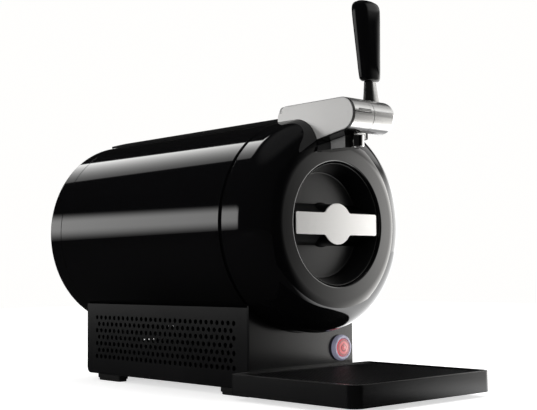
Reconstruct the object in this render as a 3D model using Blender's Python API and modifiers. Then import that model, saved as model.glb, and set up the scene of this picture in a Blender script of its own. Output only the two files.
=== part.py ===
"""Horizontal mini keg beer dispenser, built as separate pieces at real size.

The frame: metres, +Z up, the front faces -Y, the ground is z = 0 and the
middle of the footprint is x = y = 0. A depth is measured backwards from the
plane of the door opening's rim, so y = FACE_Y + depth.
"""
import math

import bmesh
import bpy
from mathutils import Matrix, Vector

# Driving sizes
CLEARANCE = 0.0003
OVERRUN = 0.004
BODY_RADIUS = 0.125
BODY_BOTTOM_Z = 0.0694
AXIS_Z = BODY_BOTTOM_Z + BODY_RADIUS
BODY_TOP_Z = AXIS_Z + BODY_RADIUS
SKIN = 0.0025
BODY_REACH = 0.4150
TRAY_REACH = 0.1284
FACE_Y = (TRAY_REACH - BODY_REACH) / 2
ROUND_STEPS = 60
SMALL_STEPS = 32
TRIM_STEPS = 24
PIN_STEPS = 16
SMOOTH_ANGLE = math.radians(32)
# How far round the nose's inner face runs
CAP_TURN = math.radians(115)

# Shell, nose and rear cap
GROOVE_AT = 0.0600
GROOVE_WIDTH = 0.0050
REAR_CAP_LENGTH = 0.0280
REAR_SEAM_AT = BODY_REACH - REAR_CAP_LENGTH
LIP_WALL = 0.0025
LIP_LENGTH = 0.0115
LIP_TAPER = 0.0015
NOSE_TUBE_RADIUS = 0.0370
NOSE_TUBE_CENTRE = BODY_RADIUS - NOSE_TUBE_RADIUS
NOSE_TUBE_AT = 0.0330
NOSE_FACE_AT = -0.0030
NOSE_ROLL = NOSE_TUBE_AT - NOSE_FACE_AT
RIM_ROUND = 0.0020
FACE_SKIN = 0.0020
RIM_INSET = 0.0167
RIM_RADIUS = NOSE_TUBE_CENTRE - RIM_INSET
LIP_DEPTH = 0.0085
CAP_EDGE = 0.0030
CAP_REGISTER = 0.0060
COOLER_WIDTH = 0.0900

# Top spine
SPINE_HALF_WIDTH = 0.0250
SPINE_RISE = 0.0019
SPINE_TOP_Z = BODY_TOP_Z + SPINE_RISE
SPINE_START = 0.0662
SPINE_SHORT = 0.0005
SPINE_END = BODY_REACH - SPINE_SHORT
SPINE_BEVEL = 0.0010

# Mouth ring, sleeve and jacket
CONE_SLOPE_SHARE = 0.2778
MOUTH_WALL = 0.0025
SEAT_AT = 0.0345
CHAMBER_INSET = 0.0123
CHAMBER_RADIUS = RIM_RADIUS - CHAMBER_INSET
MOUTH_TUBE_WALL = 0.0075
MOUTH_TUBE_RADIUS = CHAMBER_RADIUS + MOUTH_TUBE_WALL
MOUTH_TUBE_AT = 0.0390
BULKHEAD_AT = 0.0602
BULKHEAD_THICK = 0.0040
KEEPER_HOOK = 0.0060
KEEPER_REACH = CHAMBER_RADIUS - KEEPER_HOOK
KEEPER_AT = 0.0375
KEEPER_THICK = 0.0035
KEEPER_HALF_ANGLE = math.radians(18)
SLEEVE_WALL = 0.0015
JACKET_SHORT = 0.0120
JACKET_END = REAR_SEAM_AT - JACKET_SHORT
JACKET_CAP = 0.0300
SLEEVE_END = JACKET_END - JACKET_CAP
TUBE_HOLE_RADIUS = 0.0045
TUBE_HOLE_AT = 0.0460

# Door
DOOR_GAP = 0.0008
DOOR_RADIUS = RIM_RADIUS - DOOR_GAP
DOOR_LIP = 0.0012
DISH_RIM_WIDTH = 0.0015
DISH_RIM_RADIUS = DOOR_RADIUS - DISH_RIM_WIDTH
DISH_FLOOR_INSET = 0.0092
DISH_FLOOR_RADIUS = DOOR_RADIUS - DISH_FLOOR_INSET
DISH_FLOOR_AT = 0.0260
DISH_FLOOR_THICK = 0.0030
DOOR_BACK_THICK = 0.0027
DOOR_BACK_EDGE = 0.0015
SEAL_WIDTH = 0.0035
SEAL_HEIGHT = 0.0019
SHAFT_RADIUS = 0.0040
BAR_AT = 0.0420
BAR_THICK = 0.0040
BAR_ROOM = 0.0030
BAR_HALF_LENGTH = CHAMBER_RADIUS - BAR_ROOM
BAR_HALF_WIDTH = 0.0090

# Door handle
PLATE_INSET = 0.0050
PLATE_HALF_LENGTH = RIM_RADIUS - PLATE_INSET
PLATE_HALF_HEIGHT = 0.0125
PLATE_BOSS = 0.0236
PLATE_FILLET = 0.0050
PLATE_PROUD = 0.0010
PLATE_THICK = 0.0016
GRIP_FRONT_INSET = 0.0015
GRIP_FRONT_LENGTH = PLATE_HALF_LENGTH - GRIP_FRONT_INSET
GRIP_FLOOR_INSET = 0.0078
GRIP_FLOOR_LENGTH = PLATE_HALF_LENGTH - GRIP_FLOOR_INSET
GRIP_FRONT_HEIGHT = 0.0115
GRIP_FLOOR_HEIGHT = 0.0225
GRIP_FRONT_BOSS = 0.0226
GRIP_FLOOR_BOSS = 0.0285

# Concealed door hinge
HINGE_ROOM = 0.0227
HINGE_X = -(RIM_RADIUS + HINGE_ROOM)
HINGE_AT = 0.0095
HINGE_HUB = 0.0050
HINGE_PIN = 0.0019
ARM_INNER = 0.0275
ARM_OUTER = 0.0310
ARM_HALF_HEIGHT = 0.0100
ARM_END_INSET = 0.0113
ARM_END_X = -(RIM_RADIUS - ARM_END_INSET)
ARM_END_NEAR = 0.0225
ARM_END_FAR = 0.0285
ARM_NECK_ANGLES = (math.radians(110), math.radians(128))
ARM_DOOR_ANGLES = (math.radians(42), math.radians(45))
WINDOW_HALF_HEIGHT = 0.0125
WINDOW_END = 0.0335
LUG_THICK = 0.0045
WEB_FRONT = 0.0019
WEB_THICK = 0.0022
WEB_SIZES = (0.0058, 0.0080)
WEB_LEFT = HINGE_X - WEB_SIZES[0]
WEB_RIGHT = HINGE_X + WEB_SIZES[1]
LUG_SIZES = (0.0050, 0.0055)
LUG_LEFT = HINGE_X - LUG_SIZES[0]
LUG_RIGHT = HINGE_X + LUG_SIZES[1]
LUG_END = 0.0175


def depth(value):
    """World y of a depth behind the rim plane."""
    return FACE_Y + value


def collection(name):
    found = bpy.data.collections.get(name)
    if found is None:
        found = bpy.data.collections.new(name)
        bpy.context.scene.collection.children.link(found)
    return found


def start_clean():
    for old in list(bpy.data.objects):
        bpy.data.objects.remove(old, do_unlink=True)


def finish(name, colour, roughness, metallic=0.0):
    made = bpy.data.materials.new(name)
    made.use_nodes = True
    shader = made.node_tree.nodes["Principled BSDF"]
    shader.inputs["Base Color"].default_value = (*colour, 1.0)
    shader.inputs["Roughness"].default_value = roughness
    shader.inputs["Metallic"].default_value = metallic
    return made


LOOKS = {
    "gloss": ((0.010, 0.010, 0.011), 0.12, 0.0),
    "satin": ((0.020, 0.020, 0.021), 0.42, 0.0),
    "matte": ((0.018, 0.018, 0.018), 0.65, 0.0),
    "rubber": ((0.015, 0.015, 0.015), 0.80, 0.0),
    "chrome": ((0.72, 0.72, 0.71), 0.22, 1.0),
    "steel": ((0.62, 0.62, 0.61), 0.34, 1.0),
    "aluminium": ((0.66, 0.67, 0.68), 0.40, 1.0),
    "foam": ((0.78, 0.76, 0.68), 0.90, 0.0),
    "ceramic": ((0.80, 0.80, 0.78), 0.50, 0.0),
    "board": ((0.02, 0.16, 0.06), 0.50, 0.0),
    "red": ((0.75, 0.02, 0.02), 0.25, 0.0),
    "hose": ((0.70, 0.72, 0.74), 0.30, 0.0),
}


def add(obj, look):
    """Put a piece in the dispenser's collection with a finish of its own."""
    for home in list(obj.users_collection):
        home.objects.unlink(obj)
    collection("beer_dispenser").objects.link(obj)
    obj.data.materials.clear()
    obj.data.materials.append(finish(obj.name + "_finish", *LOOKS[look]))
    return obj


def as_tool(obj):
    """Keep a cutter or a joined shape out of the build."""
    for home in list(obj.users_collection):
        home.objects.unlink(obj)
    collection("cutters").objects.link(obj)
    obj.hide_render = True
    obj.display_type = "WIRE"
    return obj


def mesh_object(name, builder, look=None):
    data = bpy.data.meshes.new(name)
    bm = bmesh.new()
    builder(bm)
    bmesh.ops.recalc_face_normals(bm, faces=bm.faces)
    bm.to_mesh(data)
    bm.free()
    data.shade_smooth()
    data.set_sharp_from_angle(angle=SMOOTH_ANGLE)
    obj = bpy.data.objects.new(name, data)
    return add(obj, look) if look else as_tool(obj)


def bevel(obj, width, segments=2):
    rounding = obj.modifiers.new("edges", "BEVEL")
    rounding.width = width
    rounding.segments = segments
    rounding.limit_method = "ANGLE"
    rounding.use_clamp_overlap = True
    return obj


def block(name, low, high, look=None, edge=0.0, segments=2):
    """A box between two corners, with rounded edges if asked."""
    low = Vector(low)
    high = Vector(high)

    def build(bm):
        bmesh.ops.create_cube(bm, size=1.0)
        bmesh.ops.scale(bm, vec=high - low, verts=bm.verts)
        bmesh.ops.translate(bm, vec=(low + high) / 2, verts=bm.verts)

    obj = mesh_object(name, build, look)
    if edge:
        bevel(obj, edge, segments)
    return obj


def rod(name, radius, start, end, look=None, sides=SMALL_STEPS):
    """A round bar from one point to another."""
    start = Vector(start)
    end = Vector(end)
    length = (end - start).length
    turn = (end - start).to_track_quat("Z", "Y").to_matrix().to_4x4()

    def build(bm):
        bmesh.ops.create_cone(
            bm, cap_ends=True, segments=sides, radius1=radius,
            radius2=radius, depth=length)
        bmesh.ops.transform(bm, matrix=Matrix.Translation((start + end) / 2) @ turn, verts=bm.verts)

    return mesh_object(name, build, look)


AXIS_TURNS = {"X": (0, math.pi / 2, 0), "Y": (-math.pi / 2, 0, 0), "Z": (0, 0, 0)}


def turned(name, profile, look=None, centre=None, axis="Y", steps=ROUND_STEPS):
    """A turned shape. The profile is (radius, place along the axis), down its outer side."""
    data = bpy.data.meshes.new(name)
    bm = bmesh.new()
    verts = [bm.verts.new((radius, 0, along)) for radius, along in profile]
    for first, second in zip(verts, verts[1:]):
        bm.edges.new((first, second))
    if profile[0][0] > 0:
        bm.edges.new((verts[-1], verts[0]))
    bm.to_mesh(data)
    bm.free()
    obj = bpy.data.objects.new(name, data)
    obj.location = centre if centre is not None else (0, FACE_Y, AXIS_Z)
    obj.rotation_euler = AXIS_TURNS[axis]
    screw = obj.modifiers.new("turn", "SCREW")
    screw.axis = "Z"
    screw.angle = 2 * math.pi
    screw.steps = steps
    screw.render_steps = steps
    screw.use_merge_vertices = True
    screw.merge_threshold = 0.00001
    screw.use_smooth_shade = True
    return add(obj, look) if look else as_tool(obj)


def settle(obj):
    """Replace an object by its evaluated mesh, welded, at the same place."""
    bpy.context.view_layer.update()
    graph = bpy.context.evaluated_depsgraph_get()
    data = bpy.data.meshes.new_from_object(obj.evaluated_get(graph))
    data.transform(obj.matrix_world)
    bm = bmesh.new()
    bm.from_mesh(data)
    bmesh.ops.remove_doubles(bm, verts=bm.verts, dist=0.00001)
    bmesh.ops.recalc_face_normals(bm, faces=bm.faces)
    bm.to_mesh(data)
    bm.free()
    data.shade_smooth()
    data.set_sharp_from_angle(angle=SMOOTH_ANGLE)
    name = obj.name
    homes = list(obj.users_collection)
    hidden = obj.hide_render
    bpy.data.objects.remove(obj, do_unlink=True)
    made = bpy.data.objects.new(name, data)
    for home in homes:
        home.objects.link(made)
    made.hide_render = hidden
    if hidden:
        made.display_type = "WIRE"
    return made


PLANE_TURNS = {"XY": (0, 0, 0), "XZ": (math.pi / 2, 0, 0), "YZ": (math.pi / 2, 0, math.pi / 2)}


def plate(name, outline, thick, middle, plane="XZ", look=None, holes=(), solid=False):
    """A flat outline of half thickness to each side of its middle plane."""
    data = bpy.data.curves.new(name, "CURVE")
    data.dimensions = "2D"
    data.fill_mode = "BOTH"
    data.extrude = thick / 2
    for loop in (outline, *holes):
        spline = data.splines.new("POLY")
        spline.points.add(len(loop) - 1)
        for point, place in zip(spline.points, loop):
            point.co = (place[0], place[1], 0, 1)
        spline.use_cyclic_u = True
    obj = bpy.data.objects.new(name, data)
    obj.location = middle
    obj.rotation_euler = PLANE_TURNS[plane]
    made = add(obj, look) if look else as_tool(obj)
    return settle(made) if solid or not look else made


def pipe(name, points, radius, look):
    """A tube along points, with its ends closed."""
    data = bpy.data.curves.new(name, "CURVE")
    data.dimensions = "3D"
    data.bevel_depth = radius
    data.bevel_resolution = 2
    data.use_fill_caps = True
    spline = data.splines.new("POLY")
    spline.points.add(len(points) - 1)
    for point, place in zip(spline.points, points):
        point.co = (*place, 1)
    return add(bpy.data.objects.new(name, data), look)


def loft(name, rings, look=None):
    """A skin over closed rings of equal counts, with a cap at each end."""
    def build(bm):
        rows = [[bm.verts.new(place) for place in ring] for ring in rings]
        count = len(rows[0])
        for lower, upper in zip(rows, rows[1:]):
            for i in range(count):
                j = (i + 1) % count
                bm.faces.new((lower[i], lower[j], upper[j], upper[i]))
        bm.faces.new(list(reversed(rows[0])))
        bm.faces.new(rows[-1])

    return mesh_object(name, build, look)


def shape(obj, tool, operation):
    step = obj.modifiers.new(operation.lower(), "BOOLEAN")
    step.operation = operation
    step.object = tool
    step.solver = "EXACT"
    return obj


def cut(obj, *tools):
    for tool in tools:
        shape(obj, tool, "DIFFERENCE")
    return obj


def join(obj, *tools):
    for tool in tools:
        shape(obj, tool, "UNION")
    return obj


def arc(centre, radius, start, end, count):
    """Points along an arc, from a start angle to an end angle."""
    points = []
    for i in range(count + 1):
        angle = start + (end - start) * i / count
        points.append((centre[0] + radius * math.cos(angle), centre[1] + radius * math.sin(angle)))
    return points


def oval(centre, across, along, start, end, count):
    """Points along part of an ellipse, like those of an arc."""
    points = []
    for i in range(count + 1):
        angle = start + (end - start) * i / count
        points.append((centre[0] + across * math.cos(angle), centre[1] + along * math.sin(angle)))
    return points


def circle(centre, radius, count):
    return arc(centre, radius, 0, 2 * math.pi, count)[:-1]


def rounded(low, high, radii, count=4):
    """A rectangle with its own radius at each corner, from the lower left, anticlockwise."""
    corners = ((low[0], low[1], 1, 1), (high[0], low[1], -1, 1),
               (high[0], high[1], -1, -1), (low[0], high[1], 1, -1))
    points = []
    for i, (x, y, side_x, side_y) in enumerate(corners):
        start = math.pi + i * math.pi / 2
        middle = (x + side_x * radii[i], y + side_y * radii[i])
        points += arc(middle, radii[i], start, start + math.pi / 2, count)
    return points


def joint_empty(name, place, *pieces):
    """An empty on a joint's axis that carries the pieces that move with it."""
    empty = bpy.data.objects.new(name, None)
    empty.location = place
    collection("beer_dispenser").objects.link(empty)
    for piece in pieces:
        piece.parent = empty
        piece.matrix_parent_inverse = Matrix.Translation(-Vector(place))
    return empty


def nose_outer(swell=0.0):
    """The nose's outer line from the groove over its flat face to the rim, as (radius, depth)."""
    centre = (NOSE_TUBE_CENTRE, NOSE_TUBE_AT)
    line = oval(centre, NOSE_TUBE_RADIUS + swell, NOSE_ROLL + swell, 0, -math.pi / 2, 11)
    rim_at = NOSE_FACE_AT + RIM_ROUND
    corner = arc((bore_radius(rim_at) + RIM_ROUND, rim_at), RIM_ROUND + swell, -math.pi / 2, -math.pi, 2)
    return [(BODY_RADIUS + swell, GROOVE_AT - GROOVE_WIDTH / 2)] + line + corner


def bore_radius(at):
    return RIM_RADIUS - CONE_SLOPE_SHARE * at


def door_radius(at):
    return DOOR_RADIUS - CONE_SLOPE_SHARE * at


def build_shell():
    inner = BODY_RADIUS - SKIN
    lip = inner - CLEARANCE
    front = GROOVE_AT + GROOVE_WIDTH / 2
    shell = turned("main_shell", [
        (BODY_RADIUS, REAR_SEAM_AT - CLEARANCE), (BODY_RADIUS, front), (lip, front),
        (lip, front - LIP_LENGTH), (lip - LIP_WALL, front - LIP_LENGTH),
        (lip - LIP_WALL, front + LIP_WALL), (inner, front + LIP_WALL + LIP_TAPER),
        (inner, REAR_SEAM_AT - CLEARANCE)], "gloss")
    half = COOLER_WIDTH / 2 + CLEARANCE
    cut(shell, block("cooler_cut", (-half, depth(COOLER_AT) - half, AXIS_Z - BODY_RADIUS - OVERRUN),
                     (half, depth(COOLER_AT) + half, AXIS_Z)))

    rear_lip = lip - LIP_WALL
    turned("rear_cap", [
        (0, BODY_REACH), *arc((BODY_RADIUS - CAP_EDGE, BODY_REACH - CAP_EDGE), CAP_EDGE,
                              math.pi / 2, 0, 3),
        (BODY_RADIUS, REAR_SEAM_AT), (lip, REAR_SEAM_AT), (lip, REAR_SEAM_AT - CAP_REGISTER),
        (rear_lip, REAR_SEAM_AT - CAP_REGISTER), (rear_lip, BODY_REACH - SKIN - LIP_WALL),
        (rear_lip - LIP_WALL, BODY_REACH - SKIN), (0, BODY_REACH - SKIN)], "gloss")

    outer = nose_outer()
    centre = (NOSE_TUBE_CENTRE, NOSE_TUBE_AT)
    back = oval(centre, NOSE_TUBE_RADIUS - SKIN, NOSE_ROLL - FACE_SKIN, -CAP_TURN, 0, 8)
    nose = turned("nose_ring", [
        *outer, (bore_radius(LIP_DEPTH), LIP_DEPTH), (bore_radius(LIP_DEPTH) + SKIN, LIP_DEPTH),
        *back, (inner, GROOVE_AT - GROOVE_WIDTH / 2)], "gloss")
    cut(nose, rod("tube_way_nose", TUBE_HOLE_RADIUS, (0, depth(TUBE_HOLE_AT), AXIS_Z + inner - OVERRUN),
                  (0, depth(TUBE_HOLE_AT), AXIS_Z + BODY_RADIUS + OVERRUN), sides=PIN_STEPS))

    seat = BODY_RADIUS + CLEARANCE
    half_angle = math.asin(SPINE_HALF_WIDTH / seat)
    saddle = arc((0, AXIS_Z), seat, math.pi / 2 + half_angle, math.pi / 2 - half_angle, 8)
    length = SPINE_END - SPINE_START
    spine = plate("top_spine", [*saddle, (SPINE_HALF_WIDTH, SPINE_TOP_Z), (-SPINE_HALF_WIDTH, SPINE_TOP_Z)],
                  length, (0, depth(SPINE_START + length / 2), 0), "XZ", "matte", solid=True)
    bevel(spine, SPINE_BEVEL, 2)


def build_chamber():
    bulkhead_radius = BODY_RADIUS - SKIN - CLEARANCE - LIP_WALL - CLEARANCE
    bulkhead_back = BULKHEAD_AT + BULKHEAD_THICK
    front = LIP_DEPTH + CLEARANCE
    ring = turned("mouth_ring", [
        (bulkhead_radius, bulkhead_back), (bulkhead_radius, BULKHEAD_AT),
        (MOUTH_TUBE_RADIUS, BULKHEAD_AT), (MOUTH_TUBE_RADIUS, MOUTH_TUBE_AT),
        (bore_radius(front) + MOUTH_WALL, front), (bore_radius(front), front),
        (bore_radius(SEAT_AT), SEAT_AT), (CHAMBER_RADIUS, SEAT_AT),
        (CHAMBER_RADIUS, bulkhead_back)], "satin")
    wall_middle = (CHAMBER_RADIUS + MOUTH_TUBE_RADIUS) / 2
    for side, name in ((1, "keeper_top"), (-1, "keeper_bottom")):
        start = side * math.pi / 2 - KEEPER_HALF_ANGLE
        end = side * math.pi / 2 + KEEPER_HALF_ANGLE
        sector = arc((0, AXIS_Z), wall_middle, start, end, 8)
        sector += arc((0, AXIS_Z), KEEPER_REACH, end, start, 8)
        join(ring, plate(name, sector, KEEPER_THICK, (0, depth(KEEPER_AT + KEEPER_THICK / 2), 0)))
    cut(ring, block("arm_window", (-DOOR_RADIUS - OVERRUN, depth(0), AXIS_Z - WINDOW_HALF_HEIGHT),
                    (-KEEPER_REACH, depth(WINDOW_END), AXIS_Z + WINDOW_HALF_HEIGHT)),
        rod("tube_way_mouth", TUBE_HOLE_RADIUS, (0, depth(TUBE_HOLE_AT), AXIS_Z + KEEPER_REACH),
            (0, depth(TUBE_HOLE_AT), AXIS_Z + MOUTH_TUBE_RADIUS + OVERRUN), sides=PIN_STEPS))

    sleeve_front = bulkhead_back + CLEARANCE
    sleeve_radius = CHAMBER_RADIUS + SLEEVE_WALL
    turned("cooling_sleeve", [
        (0, SLEEVE_END), (sleeve_radius, SLEEVE_END), (sleeve_radius, sleeve_front),
        (CHAMBER_RADIUS, sleeve_front), (CHAMBER_RADIUS, SLEEVE_END - SLEEVE_WALL),
        (0, SLEEVE_END - SLEEVE_WALL)], "aluminium", steps=48)

    jacket = turned("insulation_jacket", [
        (0, JACKET_END), (bulkhead_radius, JACKET_END), (bulkhead_radius, sleeve_front),
        (sleeve_radius + CLEARANCE, sleeve_front), (sleeve_radius + CLEARANCE, SLEEVE_END + CLEARANCE),
        (0, SLEEVE_END + CLEARANCE)], "foam", steps=48)
    return jacket


# Cooler stack
COLD_HALF = 0.0200
COLD_RISE = 0.0226
COLD_BOTTOM_Z = BODY_BOTTOM_Z + COLD_RISE
PELTIER_THICK = 0.0037
SINK_BASE = 0.0050
SINK_DROP = 0.0164
SINK_BOTTOM_Z = BODY_BOTTOM_Z - SINK_DROP
SINK_FINS = 9
SINK_FIN_THICK = 0.0018
FAN_HALF = 0.0400
FAN_THICK = 0.0150
FAN_BORE = 0.0375
FAN_HUB = 0.0150
FAN_BLADES = 7
FAN_BLADE_REACH = 0.0355
FAN_BLADE_THICK = 0.0016
FAN_BLADE_PITCH = math.radians(35)
FAN_SPOKE = 0.0040
FAN_CORNER = 0.0030
# How far a fan blade reaches from its middle, as a share of the hub's height
BLADE_SHARE = 0.55
FAN_SPOKE_THICK = 0.0020
FAN_SHAFT = 0.0018

# Air pump in the nose
PUMP_RADIUS = 0.0120
PUMP_FRONT = 0.0290
PUMP_ANGLE = math.radians(225)
PUMP_OUT = 0.0080
PUMP_ORBIT = NOSE_TUBE_CENTRE + PUMP_OUT
PUMP_BARB = 0.0025
PUMP_BARB_LENGTH = 0.0060
HOSE_SPAN = 0.0318
PORT_ANGLE = PUMP_ANGLE + HOSE_SPAN / PUMP_ORBIT
HOSE_RADIUS = 0.0035
HOSE_POINTS = 12


def build_cooler(jacket):
    middle = depth(COOLER_AT)
    saddle_radius = CHAMBER_RADIUS + SLEEVE_WALL + CLEARANCE
    half_angle = math.asin(COLD_HALF / saddle_radius)
    saddle = arc((0, AXIS_Z), saddle_radius, -math.pi / 2 + half_angle, -math.pi / 2 - half_angle, 6)
    plate("cold_block", [*saddle, (-COLD_HALF, COLD_BOTTOM_Z), (COLD_HALF, COLD_BOTTOM_Z)],
          2 * COLD_HALF, (0, middle, 0), "XZ", "aluminium", solid=True)
    peltier_top = COLD_BOTTOM_Z - CLEARANCE
    sink_top = peltier_top - PELTIER_THICK - CLEARANCE
    block("peltier_module", (-COLD_HALF, middle - COLD_HALF, peltier_top - PELTIER_THICK),
          (COLD_HALF, middle + COLD_HALF, peltier_top), "ceramic")
    half = COOLER_WIDTH / 2
    comb = [(half, sink_top), (-half, sink_top)]
    pitch = (COOLER_WIDTH - SINK_FIN_THICK) / (SINK_FINS - 1)
    for i in range(SINK_FINS):
        left = -half + i * pitch
        right = left + SINK_FIN_THICK
        if i:
            comb.append((left, sink_top - SINK_BASE))
        comb += [(left, SINK_BOTTOM_Z), (right, SINK_BOTTOM_Z)]
        if i < SINK_FINS - 1:
            comb.append((right, sink_top - SINK_BASE))
    plate("heat_sink", comb, COOLER_WIDTH, (0, middle, 0), "XZ", "aluminium", solid=True)
    block_room = COLD_HALF + CLEARANCE
    sink_room = half + CLEARANCE
    cut(jacket,
        block("jacket_block_cut", (-block_room, middle - block_room, AXIS_Z - BODY_RADIUS),
              (block_room, middle + block_room, AXIS_Z - CHAMBER_RADIUS / 2)),
        block("jacket_sink_cut", (-sink_room, middle - sink_room, AXIS_Z - BODY_RADIUS - OVERRUN),
              (sink_room, middle + sink_room, sink_top + CLEARANCE)))

    fan_top = SINK_BOTTOM_Z - CLEARANCE
    fan_bottom = fan_top - FAN_THICK
    frame = plate("fan_frame", rounded((-FAN_HALF, -FAN_HALF), (FAN_HALF, FAN_HALF), [FAN_CORNER] * 4, 2),
                  FAN_THICK, (0, middle, fan_bottom + FAN_THICK / 2), "XY", "matte",
                  holes=[circle((0, 0), FAN_BORE, SMALL_STEPS)], solid=True)
    reach = FAN_BORE + FAN_SPOKE_THICK
    for half_x, half_y in ((reach, FAN_SPOKE / 2), (FAN_SPOKE / 2, reach)):
        join(frame, block("fan_spoke", (-half_x, middle - half_y, fan_bottom),
                          (half_x, middle + half_y, fan_bottom + FAN_SPOKE_THICK)))
    join(frame, rod("fan_spindle", FAN_SHAFT, (0, middle, fan_bottom + FAN_SPOKE_THICK / 2),
                    (0, middle, fan_top - FAN_SPOKE_THICK), sides=PIN_STEPS))
    hub_bottom = fan_bottom + FAN_SPOKE_THICK + CLEARANCE
    hub_top = fan_top - CLEARANCE
    spindle_room = fan_top - FAN_SPOKE_THICK + CLEARANCE
    rotor = turned("fan_rotor", [
        (0, hub_top), (FAN_HUB, hub_top), (FAN_HUB, hub_bottom), (FAN_SHAFT + CLEARANCE, hub_bottom),
        (FAN_SHAFT + CLEARANCE, spindle_room), (0, spindle_room)], "matte", (0, middle, 0), "Z", 24)
    blade_half = (FAN_BLADE_REACH - FAN_HUB) / 2 + FAN_SHAFT
    for i in range(FAN_BLADES):
        blade = block("fan_blade_%d" % i,
                      (-blade_half, -(hub_top - hub_bottom) * BLADE_SHARE, -FAN_BLADE_THICK / 2),
                      (blade_half, (hub_top - hub_bottom) * BLADE_SHARE, FAN_BLADE_THICK / 2))
        turn = 2 * math.pi * i / FAN_BLADES
        out = FAN_BLADE_REACH - blade_half
        blade.matrix_world = (Matrix.Translation((out * math.cos(turn), middle + out * math.sin(turn),
                                                  (hub_bottom + hub_top) / 2))
                              @ Matrix.Rotation(turn, 4, "Z") @ Matrix.Rotation(FAN_BLADE_PITCH, 4, "X"))
        join(rotor, blade)
    joint_empty("fan_axis", (0, middle, (hub_bottom + hub_top) / 2), rotor)


def orbit(angle, at):
    return Vector((PUMP_ORBIT * math.cos(angle), depth(at), AXIS_Z + PUMP_ORBIT * math.sin(angle)))


def build_air():
    seat = BULKHEAD_AT - CLEARANCE
    pump = rod("air_pump", PUMP_RADIUS, orbit(PUMP_ANGLE, PUMP_FRONT), orbit(PUMP_ANGLE, seat), "matte", 24)
    join(pump, rod("pump_barb", PUMP_BARB, orbit(PUMP_ANGLE, PUMP_FRONT - PUMP_BARB_LENGTH),
                   orbit(PUMP_ANGLE, PUMP_FRONT + PUMP_BARB_LENGTH), sides=PIN_STEPS))
    rod("air_port", PUMP_BARB, orbit(PORT_ANGLE, PUMP_FRONT - PUMP_BARB_LENGTH), orbit(PORT_ANGLE, seat),
        "satin", PIN_STEPS)
    front = PUMP_FRONT - PUMP_BARB_LENGTH - CLEARANCE
    first = orbit(PUMP_ANGLE, front)
    last = orbit(PORT_ANGLE, front)
    middle = (first + last) / 2
    reach = (first - last).length / 2
    ahead = Vector((0, -1, 0))
    points = [first]
    for i in range(HOSE_POINTS + 1):
        angle = math.pi * i / HOSE_POINTS
        points.append(middle + (first - middle) * math.cos(angle)
                      + ahead * (reach * math.sin(angle) + HOSE_RADIUS))
    points.append(last)
    pipe("air_hose", points, HOSE_RADIUS, "hose")


def bar_outline(length, height, boss, fillet):
    """A bar with round ends and a round boss, worked out for one quarter and mirrored."""
    corner = math.asin(height / length)
    centre_z = height + fillet
    centre_x = math.sqrt((boss + fillet) ** 2 - centre_z ** 2)
    lean = math.atan2(centre_z, centre_x)
    quarter = arc((0, 0), length, 0, corner, 2)
    quarter += arc((centre_x, centre_z), fillet, -math.pi / 2, -math.pi + lean, 3)
    quarter += arc((0, 0), boss, lean, math.pi / 2, 5)[1:]
    upper = quarter + [(-x, z) for x, z in reversed(quarter[:-1])]
    return upper + [(x, -z) for x, z in reversed(upper[1:-1])]


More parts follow.
